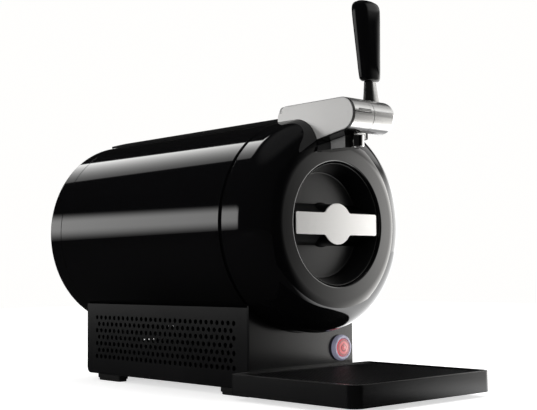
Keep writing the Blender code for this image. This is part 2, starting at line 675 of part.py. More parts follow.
def build_door():
    back = DISH_FLOOR_AT + DISH_FLOOR_THICK
    hole = SHAFT_RADIUS + CLEARANCE
    dish = turned("door_dish", [
        (door_radius(back), back), (DOOR_RADIUS, DOOR_LIP), (DOOR_RADIUS - DOOR_LIP / 2, DOOR_LIP / 4),
        (DISH_RIM_RADIUS, DOOR_LIP), (DISH_FLOOR_RADIUS, DISH_FLOOR_AT), (hole, DISH_FLOOR_AT),
        (hole, back)], "satin")
    inner_front = back + CLEARANCE
    inner_back = inner_front + DOOR_BACK_THICK
    turned("door_back", [
        (door_radius(back) - DOOR_BACK_EDGE, inner_back),
        (door_radius(back) - DOOR_BACK_EDGE / 2, inner_front),
        (hole, inner_front), (hole, inner_back)], "satin")
    seal_outer = door_radius(inner_back) - DOOR_BACK_EDGE / 2
    turned("door_seal", [
        (seal_outer, inner_back + CLEARANCE + SEAL_HEIGHT), (seal_outer, inner_back + CLEARANCE),
        (seal_outer - SEAL_WIDTH, inner_back + CLEARANCE),
        (seal_outer - SEAL_WIDTH, inner_back + CLEARANCE + SEAL_HEIGHT)], "rubber", steps=48)

    cone = turned("door_cone", [
        (0, SEAT_AT), (door_radius(SEAT_AT) + CLEARANCE, SEAT_AT), (door_radius(0) + CLEARANCE, 0), (0, 0)])
    hinge = (HINGE_X, depth(HINGE_AT))
    outline = arc(hinge, HINGE_HUB, ARM_NECK_ANGLES[0], ARM_NECK_ANGLES[1] - 2 * math.pi, 16)
    outline += arc(hinge, ARM_OUTER, ARM_NECK_ANGLES[1], ARM_DOOR_ANGLES[1], 8)
    outline += [(ARM_END_X, depth(ARM_END_FAR)), (ARM_END_X, depth(ARM_END_NEAR))]
    outline += arc(hinge, ARM_INNER, ARM_DOOR_ANGLES[0], ARM_NECK_ANGLES[0], 7)
    arm = plate("hinge_arm", outline, 2 * ARM_HALF_HEIGHT, (0, 0, AXIS_Z), "XY", "steel",
                holes=[circle(hinge, HINGE_PIN + CLEARANCE, 16)], solid=True)
    cut(arm, cone)

    lug_low = ARM_HALF_HEIGHT + CLEARANCE
    lug_high = lug_low + LUG_THICK
    bracket = block("hinge_bracket", (WEB_LEFT, depth(WEB_FRONT), AXIS_Z - lug_high),
                    (WEB_RIGHT, depth(WEB_FRONT + WEB_THICK), AXIS_Z + lug_high), "steel")
    for side, name in ((1, "lug_top"), (-1, "lug_bottom")):
        ends = sorted((AXIS_Z + side * lug_low, AXIS_Z + side * lug_high))
        join(bracket, block(name, (LUG_LEFT, depth(WEB_FRONT + WEB_THICK / 2), ends[0]),
                            (LUG_RIGHT, depth(LUG_END), ends[1])))
    pin_reach = lug_high + CLEARANCE
    pin_hole = HINGE_PIN + CLEARANCE
    cut(bracket, rod("pin_hole", pin_hole, (*hinge, AXIS_Z - pin_reach - OVERRUN),
                     (*hinge, AXIS_Z + pin_reach + OVERRUN), sides=PIN_STEPS))
    rod("hinge_pin", HINGE_PIN, (*hinge, AXIS_Z - pin_reach), (*hinge, AXIS_Z + pin_reach), "steel", 16)
    axis = joint_empty("door_axis", (*hinge, AXIS_Z), *(bpy.data.objects[n] for n in (
        "door_dish", "door_back", "door_seal", "hinge_arm")))

    grip_front = -PLATE_PROUD + PLATE_THICK + CLEARANCE
    grip_back = DISH_FLOOR_AT - CLEARANCE
    rings = []
    for share in (0.0, 0.06, 0.5, 1.0):
        length = GRIP_FRONT_LENGTH + (GRIP_FLOOR_LENGTH - GRIP_FRONT_LENGTH) * share
        height = GRIP_FRONT_HEIGHT + (GRIP_FLOOR_HEIGHT - GRIP_FRONT_HEIGHT) * share
        boss = GRIP_FRONT_BOSS + (GRIP_FLOOR_BOSS - GRIP_FRONT_BOSS) * share
        y = depth(grip_front + (grip_back - grip_front) * share)
        rings.append([(x, y, AXIS_Z + z) for x, z in bar_outline(length, height, boss, PLATE_FILLET)])
    grip = loft("door_grip", rings, "satin")
    face = plate("door_plate", bar_outline(PLATE_HALF_LENGTH, PLATE_HALF_HEIGHT, PLATE_BOSS, PLATE_FILLET),
                 PLATE_THICK, (0, depth(-PLATE_PROUD + PLATE_THICK / 2), AXIS_Z), "XZ", "steel", solid=True)
    bar_end = BAR_AT + BAR_THICK
    shaft = rod("door_shaft", SHAFT_RADIUS, (0, depth(grip_back + CLEARANCE), AXIS_Z),
                (0, depth(bar_end), AXIS_Z), "steel", 24)
    corner = math.asin(BAR_HALF_WIDTH / BAR_HALF_LENGTH)
    ends = arc((0, 0), BAR_HALF_LENGTH, -corner, corner, 4)
    ends += arc((0, 0), BAR_HALF_LENGTH, math.pi - corner, math.pi + corner, 4)
    bar = plate("latch_bar", ends, BAR_THICK, (0, depth(BAR_AT + BAR_THICK / 2), AXIS_Z), "XZ", "steel",
                holes=[circle((0, 0), SHAFT_RADIUS + CLEARANCE, 24)], solid=True)
    turn = joint_empty("handle_axis", (0, depth(0), AXIS_Z), grip, face, shaft, bar)
    turn.parent = axis
    turn.matrix_parent_inverse = Matrix.Translation(-axis.location)
    return dish


# Tap
TAP_LEFT = -0.0325
TAP_RIGHT = 0.0328
CHEEK_THICK = 0.0030
HEAD_AT = -0.0385
HEAD_DROP = 0.0052
HEAD_Z = BODY_TOP_Z - HEAD_DROP
HEAD_RADIUS = 0.0188
TAP_REAR = 0.0635
REAR_ROUND = 0.0150
KEEL_DROP = 0.0282
TAP_KEEL_Z = HEAD_Z - KEEL_DROP
TAP_KEEL_AT = 0.0140
PART_RISE = 0.0008
PART_LINE_Z = HEAD_Z + PART_RISE
PART_STEP_AT = -0.0150
PART_REAR_AT = 0.0440
PART_REAR_RISE = 0.0094
PART_REAR_Z = HEAD_Z + PART_REAR_RISE
LINE_GAP = 0.0006
COVER_PIN_AT = 0.0570
COVER_PIN_RISE = 0.0126
COVER_PIN_Z = HEAD_Z + COVER_PIN_RISE
COVER_PIN = 0.0016
COVER_KNUCKLE = 0.0061
SEAM_X = 0.0030
STRIP_X = -0.0024
STRIP_ROOM = 0.0012
BARREL_RADIUS = 0.0185
BARREL_END_X = 0.0400
BARREL_DOME = 0.0060
ARM_FRONT_AT = -0.0197
AXLE_RADIUS = 0.0045
AXLE_START_X = -0.0070
AXLE_END_X = 0.0280
CHANNEL_HALF = 0.0050
CHANNEL_DEPTH = 0.0080
CHANNEL_SKIN = 0.0013
CHANNEL_TURN_AT = 0.0040
NOZZLE_AT = -0.0335
NOZZLE_RADIUS = 0.0073
NOZZLE_BORE = 0.0036
NOZZLE_DROP = 0.0342
NOZZLE_BOTTOM_Z = HEAD_Z - NOZZLE_DROP
SPOUT_HALF = 0.0120
SPOUT_FRONT_AT = -0.0255
SPOUT_DROP = 0.0007
SPOUT_BOTTOM_Z = NOZZLE_BOTTOM_Z - SPOUT_DROP
TAB_LEFT = -0.0220
TAB_RIGHT = -0.0030
TAB_RISE = 0.0010
TAB_LOW_Z = PART_LINE_Z + TAB_RISE
TAB_HEIGHT = 0.0030
TAB_HIGH_Z = TAB_LOW_Z + TAB_HEIGHT
TAB_FRONT = -0.0570
TAB_BACK = -0.0500
TAB_ROOM = 0.0020
HANDLE_X = 0.0195
HANDLE_LEAN = math.radians(3.3)
STEM_START = 0.0098
STEM_BASE_Z = HEAD_Z + STEM_START
STEM_LENGTH = 0.0314
STEM_TOP_Z = STEM_BASE_Z + STEM_LENGTH
STEM_BASE = (0.0126, 0.0085)
STEM_TOP = (0.0079, 0.0058)
GRIP_LENGTH = 0.0941
GRIP_TOP_Z = STEM_TOP_Z + GRIP_LENGTH
# Height share, half width and half depth of the grip's sections
GRIP_SECTIONS = (
    (0.000, 0.0095, 0.0050), (0.012, 0.0122, 0.0068), (0.045, 0.0142, 0.0079), (0.30, 0.0160, 0.0088),
    (0.60, 0.0180, 0.0096), (0.85, 0.0194, 0.0103), (0.93, 0.0190, 0.0100), (0.975, 0.0166, 0.0085),
    (1.000, 0.0114, 0.0056))
GRIP_SIDES = 24
GRIP_SQUARE = 2.6


def keel_z(at):
    """Height of the arm's sloping underside at a depth."""
    low_start = HEAD_AT
    start_z = HEAD_Z - HEAD_RADIUS
    return start_z + (TAP_KEEL_Z - start_z) * (at - low_start) / (TAP_KEEL_AT - low_start)


def arm_outline():
    """The whole side outline of the arm: round head, flat top, round rear, sloping keel."""
    top = HEAD_Z + HEAD_RADIUS
    head = arc((depth(HEAD_AT), HEAD_Z), HEAD_RADIUS, -math.pi / 2, -3 * math.pi / 2, 16)
    rear = arc((depth(TAP_REAR - REAR_ROUND), top - REAR_ROUND), REAR_ROUND, math.pi / 2, 0, 6)
    return head + rear + [(depth(TAP_REAR), TAP_KEEL_Z), (depth(TAP_KEEL_AT), TAP_KEEL_Z)]


def nose_top_z(at):
    """Height of the nose's crest at a depth."""
    share = max(NOSE_TUBE_AT - at, 0) / NOSE_ROLL
    return AXIS_Z + NOSE_TUBE_CENTRE + NOSE_TUBE_RADIUS * math.sqrt(1 - share ** 2)


def side_plate(name, outline, left, right, look=None, holes=()):
    return plate(name, outline, right - left, ((left + right) / 2, 0, 0), "YZ", look, holes, solid=True)


def build_tap():
    nose_tool = turned("nose_tool", [
        (0, TAP_REAR + OVERRUN), (BODY_RADIUS + CLEARANCE, TAP_REAR + OVERRUN),
        *nose_outer(CLEARANCE), (0, NOSE_TUBE_AT)])
    body_left = TAP_LEFT + CHEEK_THICK + CLEARANCE
    body_right = TAP_RIGHT - CHEEK_THICK - CLEARANCE
    outline = arm_outline()
    top = HEAD_Z + HEAD_RADIUS
    cheek_left = side_plate("tap_cheek_left", outline, TAP_LEFT, TAP_LEFT + CHEEK_THICK, "chrome")
    cut(cheek_left, nose_tool)
    body = side_plate("tap_body", outline, body_left, body_right, "chrome")
    room = (TAP_RIGHT + OVERRUN, depth(ARM_FRONT_AT), top + OVERRUN)
    head_front = depth(HEAD_AT - HEAD_RADIUS) - OVERRUN
    body_notch = block("body_notch", (SEAM_X - CLEARANCE, head_front, HEAD_Z - HEAD_RADIUS - OVERRUN), room)
    line = [(head_front, PART_LINE_Z), (depth(PART_STEP_AT), PART_LINE_Z),
            (depth(PART_REAR_AT), PART_REAR_Z)]
    above = [*line, (depth(TAP_REAR) + OVERRUN, PART_REAR_Z), (depth(TAP_REAR) + OVERRUN, top + OVERRUN),
             (line[0][0], top + OVERRUN)]
    cover_room = side_plate("cover_room", above, body_left - OVERRUN, body_right + OVERRUN)
    strip = block("lid_strip", (STRIP_X, head_front, TAP_KEEL_Z),
                  (SEAM_X, depth(ARM_FRONT_AT) - STRIP_ROOM, top + OVERRUN))
    cut(cover_room, strip)
    floor = PART_LINE_Z - CHANNEL_DEPTH
    channel_end = TUBE_HOLE_AT + CHANNEL_HALF
    channel_floor = [(depth(NOZZLE_AT) - CHANNEL_HALF, floor), (depth(CHANNEL_TURN_AT), floor)]
    for at in (TUBE_HOLE_AT / 4, TUBE_HOLE_AT / 2, NOSE_TUBE_AT, channel_end):
        channel_floor.append((depth(at), nose_top_z(at) + CLEARANCE + CHANNEL_SKIN))
    channel = side_plate("channel_room", [
        *channel_floor, (depth(channel_end), top), (depth(NOZZLE_AT) - CHANNEL_HALF, top)],
        -CHANNEL_HALF, CHANNEL_HALF)
    knuckle_front = depth(COVER_PIN_AT) - COVER_KNUCKLE - LINE_GAP
    body_end = block("body_end", (TAP_LEFT - OVERRUN, knuckle_front, AXIS_Z),
                     (TAP_RIGHT + OVERRUN, depth(TAP_REAR) + OVERRUN, top + OVERRUN))
    axle_hole = rod("axle_hole", AXLE_RADIUS + CLEARANCE, (AXLE_START_X - CLEARANCE, depth(HEAD_AT), HEAD_Z),
                    (TAP_RIGHT, depth(HEAD_AT), HEAD_Z), sides=24)
    drop = rod("drop_way", NOZZLE_BORE, (0, depth(NOZZLE_AT), NOZZLE_BOTTOM_Z),
               (0, depth(NOZZLE_AT), floor + OVERRUN), sides=24)
    down = rod("tube_way_body", TUBE_HOLE_RADIUS, (0, depth(TUBE_HOLE_AT), AXIS_Z),
               (0, depth(TUBE_HOLE_AT), top), sides=PIN_STEPS)
    cut(body, body_notch, cover_room, channel, axle_hole, drop, down, body_end, nose_tool)

    cheek_right = side_plate("tap_cheek_right", outline, TAP_RIGHT - CHEEK_THICK, TAP_RIGHT, "chrome")
    cut(cheek_right, body_notch, nose_tool)

    cover = side_plate("tap_cover", outline, body_left, body_right, "chrome")
    below = [(line[0][0], TAP_KEEL_Z - OVERRUN), (line[0][0], PART_LINE_Z + LINE_GAP),
             (depth(PART_STEP_AT), PART_LINE_Z + LINE_GAP), (depth(PART_REAR_AT), PART_REAR_Z + LINE_GAP),
             (depth(COVER_PIN_AT), COVER_PIN_Z), (depth(TAP_REAR) + OVERRUN, COVER_PIN_Z),
             (depth(TAP_REAR) + OVERRUN, TAP_KEEL_Z - OVERRUN)]
    cover_under = side_plate("cover_under", below, body_left - OVERRUN, body_right + OVERRUN)
    rear_off = block("cover_rear_off", (TAP_LEFT, depth(COVER_PIN_AT), AXIS_Z),
                     (TAP_RIGHT, depth(TAP_REAR) + OVERRUN, top + OVERRUN))
    tab_room = block("tab_room", (TAB_LEFT - CLEARANCE, depth(TAB_FRONT) - OVERRUN, PART_LINE_Z - OVERRUN),
                     (TAB_RIGHT + CLEARANCE, depth(TAB_BACK) + TAB_ROOM, TAB_HIGH_Z + CLEARANCE))
    hinge_roll = rod("cover_roll", COVER_KNUCKLE, (body_left, depth(COVER_PIN_AT), COVER_PIN_Z),
                     (body_right, depth(COVER_PIN_AT), COVER_PIN_Z), sides=24)
    pin_way = rod("cover_pin_way", COVER_PIN + CLEARANCE,
                  (TAP_LEFT - OVERRUN, depth(COVER_PIN_AT), COVER_PIN_Z),
                  (TAP_RIGHT + OVERRUN, depth(COVER_PIN_AT), COVER_PIN_Z), sides=PIN_STEPS)
    strip_room = block("strip_room", (STRIP_X - CLEARANCE, head_front, TAP_KEEL_Z),
                       (SEAM_X, depth(ARM_FRONT_AT), top + OVERRUN))
    cut(cover, cover_under, rear_off, body_notch, strip_room, tab_room, axle_hole)
    join(cover, hinge_roll)
    cut(cover, pin_way)
    cut(cheek_left, pin_way)
    cut(cheek_right, pin_way)
    rod("cover_pin", COVER_PIN, (TAP_LEFT + CLEARANCE, depth(COVER_PIN_AT), COVER_PIN_Z),
        (TAP_RIGHT - CLEARANCE, depth(COVER_PIN_AT), COVER_PIN_Z), "steel", 16)
    tab = block("cover_latch", (TAB_LEFT, depth(TAB_FRONT), TAB_LOW_Z),
                (TAB_RIGHT, depth(TAB_BACK), TAB_HIGH_Z), "chrome", CLEARANCE)
    cover_axis = joint_empty("cover_axis", (0, depth(COVER_PIN_AT), COVER_PIN_Z), cover, tab)

    barrel = turned("tap_barrel", [
        (0, BARREL_END_X), *arc((BARREL_RADIUS - BARREL_DOME, BARREL_END_X - BARREL_DOME), BARREL_DOME,
                                math.pi / 2, 0, 6),
        (BARREL_RADIUS, SEAM_X + CLEARANCE), (AXLE_RADIUS + CLEARANCE, SEAM_X + CLEARANCE),
        (AXLE_RADIUS + CLEARANCE, AXLE_END_X + CLEARANCE), (0, AXLE_END_X + CLEARANCE)],
        "chrome", (0, depth(HEAD_AT), HEAD_Z), "X", 36)
    rod("tap_axle", AXLE_RADIUS, (AXLE_START_X, depth(HEAD_AT), HEAD_Z),
        (AXLE_END_X, depth(HEAD_AT), HEAD_Z), "steel", TRIM_STEPS)

    def section(half_x, half_y, z, power):
        """A soft rectangle: a power of 2 is an ellipse, more is squarer."""
        ring = []
        middle = depth(HEAD_AT) + (z - HEAD_Z) * math.tan(HANDLE_LEAN)
        for i in range(GRIP_SIDES):
            angle = 2 * math.pi * i / GRIP_SIDES
            c = math.cos(angle)
            s = math.sin(angle)
            ring.append((HANDLE_X + half_x * math.copysign(abs(c) ** (2 / power), c),
                         middle + half_y * math.copysign(abs(s) ** (2 / power), s), z))
        return ring

    stem_rings = [section(*STEM_BASE, STEM_BASE_Z, 2), section(*STEM_TOP, STEM_TOP_Z, 2)]
    stem = loft("tap_stem", stem_rings, "chrome")
    barrel_tool = rod("barrel_tool", BARREL_RADIUS + CLEARANCE, (SEAM_X, depth(HEAD_AT), HEAD_Z),
                      (BARREL_END_X, depth(HEAD_AT), HEAD_Z), sides=48)
    cut(stem, barrel_tool)
    grip_base = STEM_TOP_Z + CLEARANCE
    grip = loft("tap_grip", [section(x, y, grip_base + (GRIP_TOP_Z - grip_base) * share, GRIP_SQUARE)
                             for share, x, y in GRIP_SECTIONS], "satin")
    joint_empty("tap_axis", (0, depth(HEAD_AT), HEAD_Z), barrel, stem, grip)

    under = [(depth(SPOUT_FRONT_AT), SPOUT_BOTTOM_Z),
             (depth(SPOUT_FRONT_AT), keel_z(SPOUT_FRONT_AT) - CLEARANCE),
             (depth(TAP_KEEL_AT), TAP_KEEL_Z - CLEARANCE), (depth(TAP_KEEL_AT), SPOUT_BOTTOM_Z)]
    spout = side_plate("tap_spout", under, -SPOUT_HALF, SPOUT_HALF, "chrome")
    cut(spout, nose_tool)
    nozzle_top = keel_z(NOZZLE_AT + NOZZLE_RADIUS) - CLEARANCE
    turned("tap_nozzle", [
        (NOZZLE_RADIUS, nozzle_top), (NOZZLE_RADIUS, NOZZLE_BOTTOM_Z), (NOZZLE_BORE, NOZZLE_BOTTOM_Z),
        (NOZZLE_BORE, nozzle_top)], "chrome", (0, depth(NOZZLE_AT), 0), "Z", 32)
    return cover_axis


# Base
BASE_HALF = 0.0853
BASE_FRONT = 0.0573
BASE_SHORT = 0.0039
BASE_REAR = REAR_SEAM_AT - BASE_SHORT
BASE_BOTTOM_Z = 0.0086
BASE_WALL = 0.0025
PANEL_DROP = 0.0028
BASE_TOP_Z = AXIS_Z - math.sqrt(BODY_RADIUS ** 2 - BASE_HALF ** 2) - PANEL_DROP
BASE_REAR_ROUND = 0.0080
VENT_PITCH = 0.0198
VENT_HOLE = 0.0045
VENT_START = 0.0880
VENT_MARGIN = 0.0271
VENT_END = BASE_REAR - VENT_MARGIN
VENT_TOP_Z = 0.0823
VENT_ROWS = 4
VENT_SIDES = 6
CRADLE_THICK = 0.0040
FRONT_CRADLE_IN = 0.0427
REAR_CRADLE_IN = 0.0931
CRADLES_AT = (BASE_FRONT + FRONT_CRADLE_IN, BASE_REAR - REAR_CRADLE_IN)
CRADLE_WINDOW = (0.0600, 0.0550)
FOOT_WIDTH = 0.0150
FOOT_LENGTH = 0.0490
FOOT_INSET = 0.0010
FRONT_FOOT_IN = 0.0027
REAR_FOOT_IN = 0.0721
FEET_AT = (BASE_FRONT + FRONT_FOOT_IN, BASE_REAR - REAR_FOOT_IN)
SLOT_WIDTH = 0.0050
SLOT_LENGTH = 0.0600
SLOT_COUNT = 7
OUTLET_SLOTS = 6

# Button
BUTTON_INSET = 0.0228
BUTTON_X = BASE_HALF - BUTTON_INSET
BUTTON_Z = 0.0483
BEZEL_RADIUS = 0.0154
BEZEL_PROUD = 0.0060
BEZEL_BODY = 0.0125
BEZEL_BORE = 0.0106
BEZEL_END = 0.0640
CAP_PROUD = 0.0072
CAP_LENGTH = 0.0125
CAP_DOME = 0.0014
SWITCH_HALF = 0.0110
SWITCH_DEPTH = 0.0140

# Rear inlet
INLET_INSET = 0.0403
INLET_X = -(BASE_HALF - INLET_INSET)
INLET_Z = 0.0420
INLET_HALF = (0.0140, 0.0105)
INLET_FLANGE = (0.0180, 0.0135)
INLET_DEPTH = 0.0200
INLET_FLANGE_THICK = 0.0020
INLET_WALL = 0.0020
INLET_PIN = (0.0010, 0.0020)
INLET_PINS = ((-0.0070, -0.0020), (0.0, 0.0020), (0.0070, -0.0020))

# Supply and board
SUPPLY_X = -0.0300
SUPPLY_IN = 0.0841
SUPPLY_AT = BASE_REAR - SUPPLY_IN
# The cooler stands midway between the front cradle and the supply
COOLER_AT = (CRADLES_AT[0] + CRADLE_THICK + SUPPLY_AT) / 2
SUPPLY_SIZE = (0.0850, 0.0560, 0.0380)
BOARD_SIZE = (0.0700, 0.0016, 0.0420)
BOARD_AT = 0.0780
BOARD_X = -0.0350
CHIP = (0.0120, 0.0060, 0.0120)
CHIP_SHARES = (0.12, 0.42, 0.72)

# Drip tray
TRAY_HALF = 0.1126
TRAY_BACK = 0.0565
TRAY_BOTTOM_Z = 0.0055
TRAY_TOP_Z = 0.0291
TRAY_CORNER = 0.0120
TRAY_BACK_CORNER = 0.0030
TRAY_WALL = 0.0040
TRAY_LEDGE = 0.0050
TRAY_FLOOR = 0.0022
TRAY_SEAT = 0.0034
TRAY_BACK_LEDGE = 0.0085
CORNER_STEPS = 5
GRID_THICK = 0.0016
GRID_SLOTS = 11
GRID_SLOT_ROWS = 3
GRID_SLOT_WIDTH = 0.0050
GRID_MARGIN = 0.0140
GRID_BRIDGE = 0.0080
PRONG_X = 0.0450
PRONG_HALF = 0.0100
PRONG_THICK = 0.0040
PRONG_LENGTH = 0.0220
PRONG_ROOT = 0.0020


def saddle_line(left, right, count):
    """The cylinder's underside between two x values, from right to left."""
    radius = BODY_RADIUS + CLEARANCE
    start = -math.acos(right / radius)
    end = -math.acos(left / radius)
    return arc((0, AXIS_Z), radius, start, end, count)


def build_base():
    inner = BASE_HALF - BASE_WALL
    floor = BASE_BOTTOM_Z + BASE_WALL
    inside = inner - CLEARANCE
    prong_low = floor
    prong_high = floor + PRONG_THICK + 2 * CLEARANCE
    prong_room = PRONG_HALF + CLEARANCE
    holes = [circle((BUTTON_X, BUTTON_Z), BEZEL_BODY + CLEARANCE, SMALL_STEPS)]
    for x in (-PRONG_X, PRONG_X):
        holes.append([(x - prong_room, prong_low), (x + prong_room, prong_low),
                      (x + prong_room, prong_high), (x - prong_room, prong_high)])
    plate("front_fascia", [(-BASE_HALF, BASE_BOTTOM_Z), (BASE_HALF, BASE_BOTTOM_Z),
                           *saddle_line(-BASE_HALF, BASE_HALF, 16)],
          BASE_WALL, (0, depth(BASE_FRONT + BASE_WALL / 2), 0), "XZ", "satin", holes=holes, solid=True)

    behind = BASE_FRONT + BASE_WALL + CLEARANCE
    rows = []
    row_pitch = VENT_PITCH * math.sqrt(3) / 2
    for row in range(VENT_ROWS):
        start = VENT_START + (row % 2) * VENT_PITCH / 2
        count = int((VENT_END - start) / VENT_PITCH) + 1
        for i in range(count):
            middle = (depth(start + i * VENT_PITCH), VENT_TOP_Z - row * row_pitch)
            rows.append(circle(middle, VENT_HOLE, VENT_SIDES))
    corner = (depth(BASE_REAR - BASE_REAR_ROUND), BASE_BOTTOM_Z + BASE_REAR_ROUND)
    side = [(depth(behind), BASE_BOTTOM_Z), *arc(corner, BASE_REAR_ROUND, -math.pi / 2, 0, 4),
            (depth(BASE_REAR), BASE_TOP_Z), (depth(behind), BASE_TOP_Z)]
    for name, low, high in (("vent_panel_left", -BASE_HALF, -inner), ("vent_panel_right", inner, BASE_HALF)):
        side_plate(name, side, low, high, "satin", rows)

    rear_in = BASE_REAR - BASE_WALL
    tray = [(depth(behind), BASE_BOTTOM_Z), *arc(corner, BASE_REAR_ROUND, -math.pi / 2, 0, 4),
            *arc(corner, BASE_REAR_ROUND - BASE_WALL, 0, -math.pi / 2, 4), (depth(behind), floor)]
    pan = side_plate("base_tray", tray, -inside, inside, "satin")
    slot_pitch = 2 * SLOT_WIDTH
    for i in range(SLOT_COUNT):
        x = (i - (SLOT_COUNT - 1) / 2) * slot_pitch
        low = (x - SLOT_WIDTH / 2, depth(COOLER_AT) - SLOT_LENGTH / 2, BASE_BOTTOM_Z - OVERRUN)
        high = (x + SLOT_WIDTH / 2, depth(COOLER_AT) + SLOT_LENGTH / 2, floor + OVERRUN)
        cut(pan, block("intake_slot", low, high))

    panel_low = BASE_BOTTOM_Z + BASE_REAR_ROUND + CLEARANCE
    left = INLET_X - INLET_HALF[0]
    right = INLET_X + INLET_HALF[0]
    low = INLET_Z - INLET_HALF[1]
    high = INLET_Z + INLET_HALF[1]
    holes = [[(left, low), (right, low), (right, high), (left, high)]]
    left = INLET_X + INLET_FLANGE[0] + SLOT_WIDTH
    right = inside - 2 * SLOT_WIDTH
    for i in range(OUTLET_SLOTS):
        z = INLET_Z + (i - OUTLET_SLOTS / 2 + 1) * (SLOT_WIDTH + BASE_WALL) - BASE_WALL
        holes.append([(left, z), (right, z), (right, z + BASE_WALL), (left, z + BASE_WALL)])
    plate("rear_panel", [(-inside, panel_low), (inside, panel_low), *saddle_line(-inside, inside, 16)],
          BASE_WALL, (0, depth(BASE_REAR - BASE_WALL / 2), 0), "XZ", "satin", holes=holes, solid=True)

    half, high = CRADLE_WINDOW
    low = floor + CRADLE_THICK
    window = [(-half, low), (half, low), (half, high), (-half, high)]
    foot_z = floor + CLEARANCE
    for at, name in zip(CRADLES_AT, ("front_cradle", "rear_cradle")):
        plate(name, [(-inside, foot_z), (inside, foot_z), *saddle_line(-inside, inside, 16)], CRADLE_THICK,
              (0, depth(at + CRADLE_THICK / 2), 0), "XZ", "matte", holes=[window], solid=True)

    outer = BASE_HALF - FOOT_INSET
    for at, where in zip(FEET_AT, ("front", "rear")):
        for left, hand in ((-outer, "left"), (outer - FOOT_WIDTH, "right")):
            high = (left + FOOT_WIDTH, depth(at + FOOT_LENGTH), BASE_BOTTOM_Z - CLEARANCE)
            block("foot_%s_%s" % (where, hand), (left, depth(at), 0), high, "rubber", FOOT_INSET)
    return floor


def build_button():
    centre = (BUTTON_X, FACE_Y, BUTTON_Z)
    front = BASE_FRONT - BEZEL_PROUD
    edge = FOOT_INSET
    seat = BASE_FRONT - CLEARANCE
    turned("button_bezel", [
        (BEZEL_BODY, BEZEL_END), (BEZEL_BODY, seat), (BEZEL_RADIUS, seat),
        (BEZEL_RADIUS, front + edge), (BEZEL_RADIUS - edge, front), (BEZEL_BORE + edge, front),
        (BEZEL_BORE, front + edge), (BEZEL_BORE, BEZEL_END)], "chrome", centre, steps=TRIM_STEPS)
    cap_front = BASE_FRONT - CAP_PROUD
    cap_radius = BEZEL_BORE - CLEARANCE
    cap = turned("button_cap", [
        (0, cap_front + CAP_LENGTH), (cap_radius, cap_front + CAP_LENGTH),
        (cap_radius, cap_front + CAP_DOME), (cap_radius - CAP_DOME, cap_front + CAP_DOME / 3),
        (0, cap_front)], "red", centre, steps=TRIM_STEPS)
    joint_empty("button_axis", (BUTTON_X, depth(cap_front), BUTTON_Z), cap)
    start = BEZEL_END + CLEARANCE
    block("button_switch", (BUTTON_X - SWITCH_HALF, depth(start), BUTTON_Z - SWITCH_HALF),
          (BUTTON_X + SWITCH_HALF, depth(start + SWITCH_DEPTH), BUTTON_Z + SWITCH_HALF), "matte", CLEARANCE)


def build_inside_base(floor):
    low = Vector((SUPPLY_X, depth(SUPPLY_AT), floor + CLEARANCE))
    block("power_supply", low, low + Vector(SUPPLY_SIZE), "matte", FOOT_INSET)
    low = Vector((BOARD_X, depth(BOARD_AT), floor + CLEARANCE))
    board = block("control_board", low, low + Vector(BOARD_SIZE), "board")
    for i, share in enumerate(CHIP_SHARES):
        corner = low + Vector((BOARD_SIZE[0] * share, BOARD_SIZE[1] / 2, BOARD_SIZE[2] / 3))
        join(board, block("chip_%d" % i, corner, corner + Vector(CHIP)))

    back = BASE_REAR + CLEARANCE

    def recess(half, start, end):
        """A box about the inlet's middle, between two depths."""
        low = (INLET_X - half[0], depth(start), INLET_Z - half[1])
        return low, (INLET_X + half[0], depth(end), INLET_Z + half[1])

    body_half = [half - CLEARANCE for half in INLET_HALF]
    inner_half = [half - INLET_WALL - CLEARANCE for half in INLET_HALF]
    flange_middle = back + INLET_FLANGE_THICK / 2
    socket = block("inlet_socket", *recess(body_half, BASE_REAR - INLET_DEPTH, flange_middle), "matte")
    join(socket, block("inlet_flange", *recess(INLET_FLANGE, back, back + INLET_FLANGE_THICK)))
    bottom = BASE_REAR - INLET_DEPTH + INLET_WALL
    cut(socket, block("inlet_recess", *recess(inner_half, bottom, back + OVERRUN)))
    for x, z in INLET_PINS:
        low = (INLET_X + x - INLET_PIN[0], depth(bottom - INLET_WALL / 2), INLET_Z + z - INLET_PIN[1])
        high = (INLET_X + x + INLET_PIN[0], depth(BASE_REAR - INLET_WALL), INLET_Z + z + INLET_PIN[1])
        join(socket, block("inlet_pin", low, high))


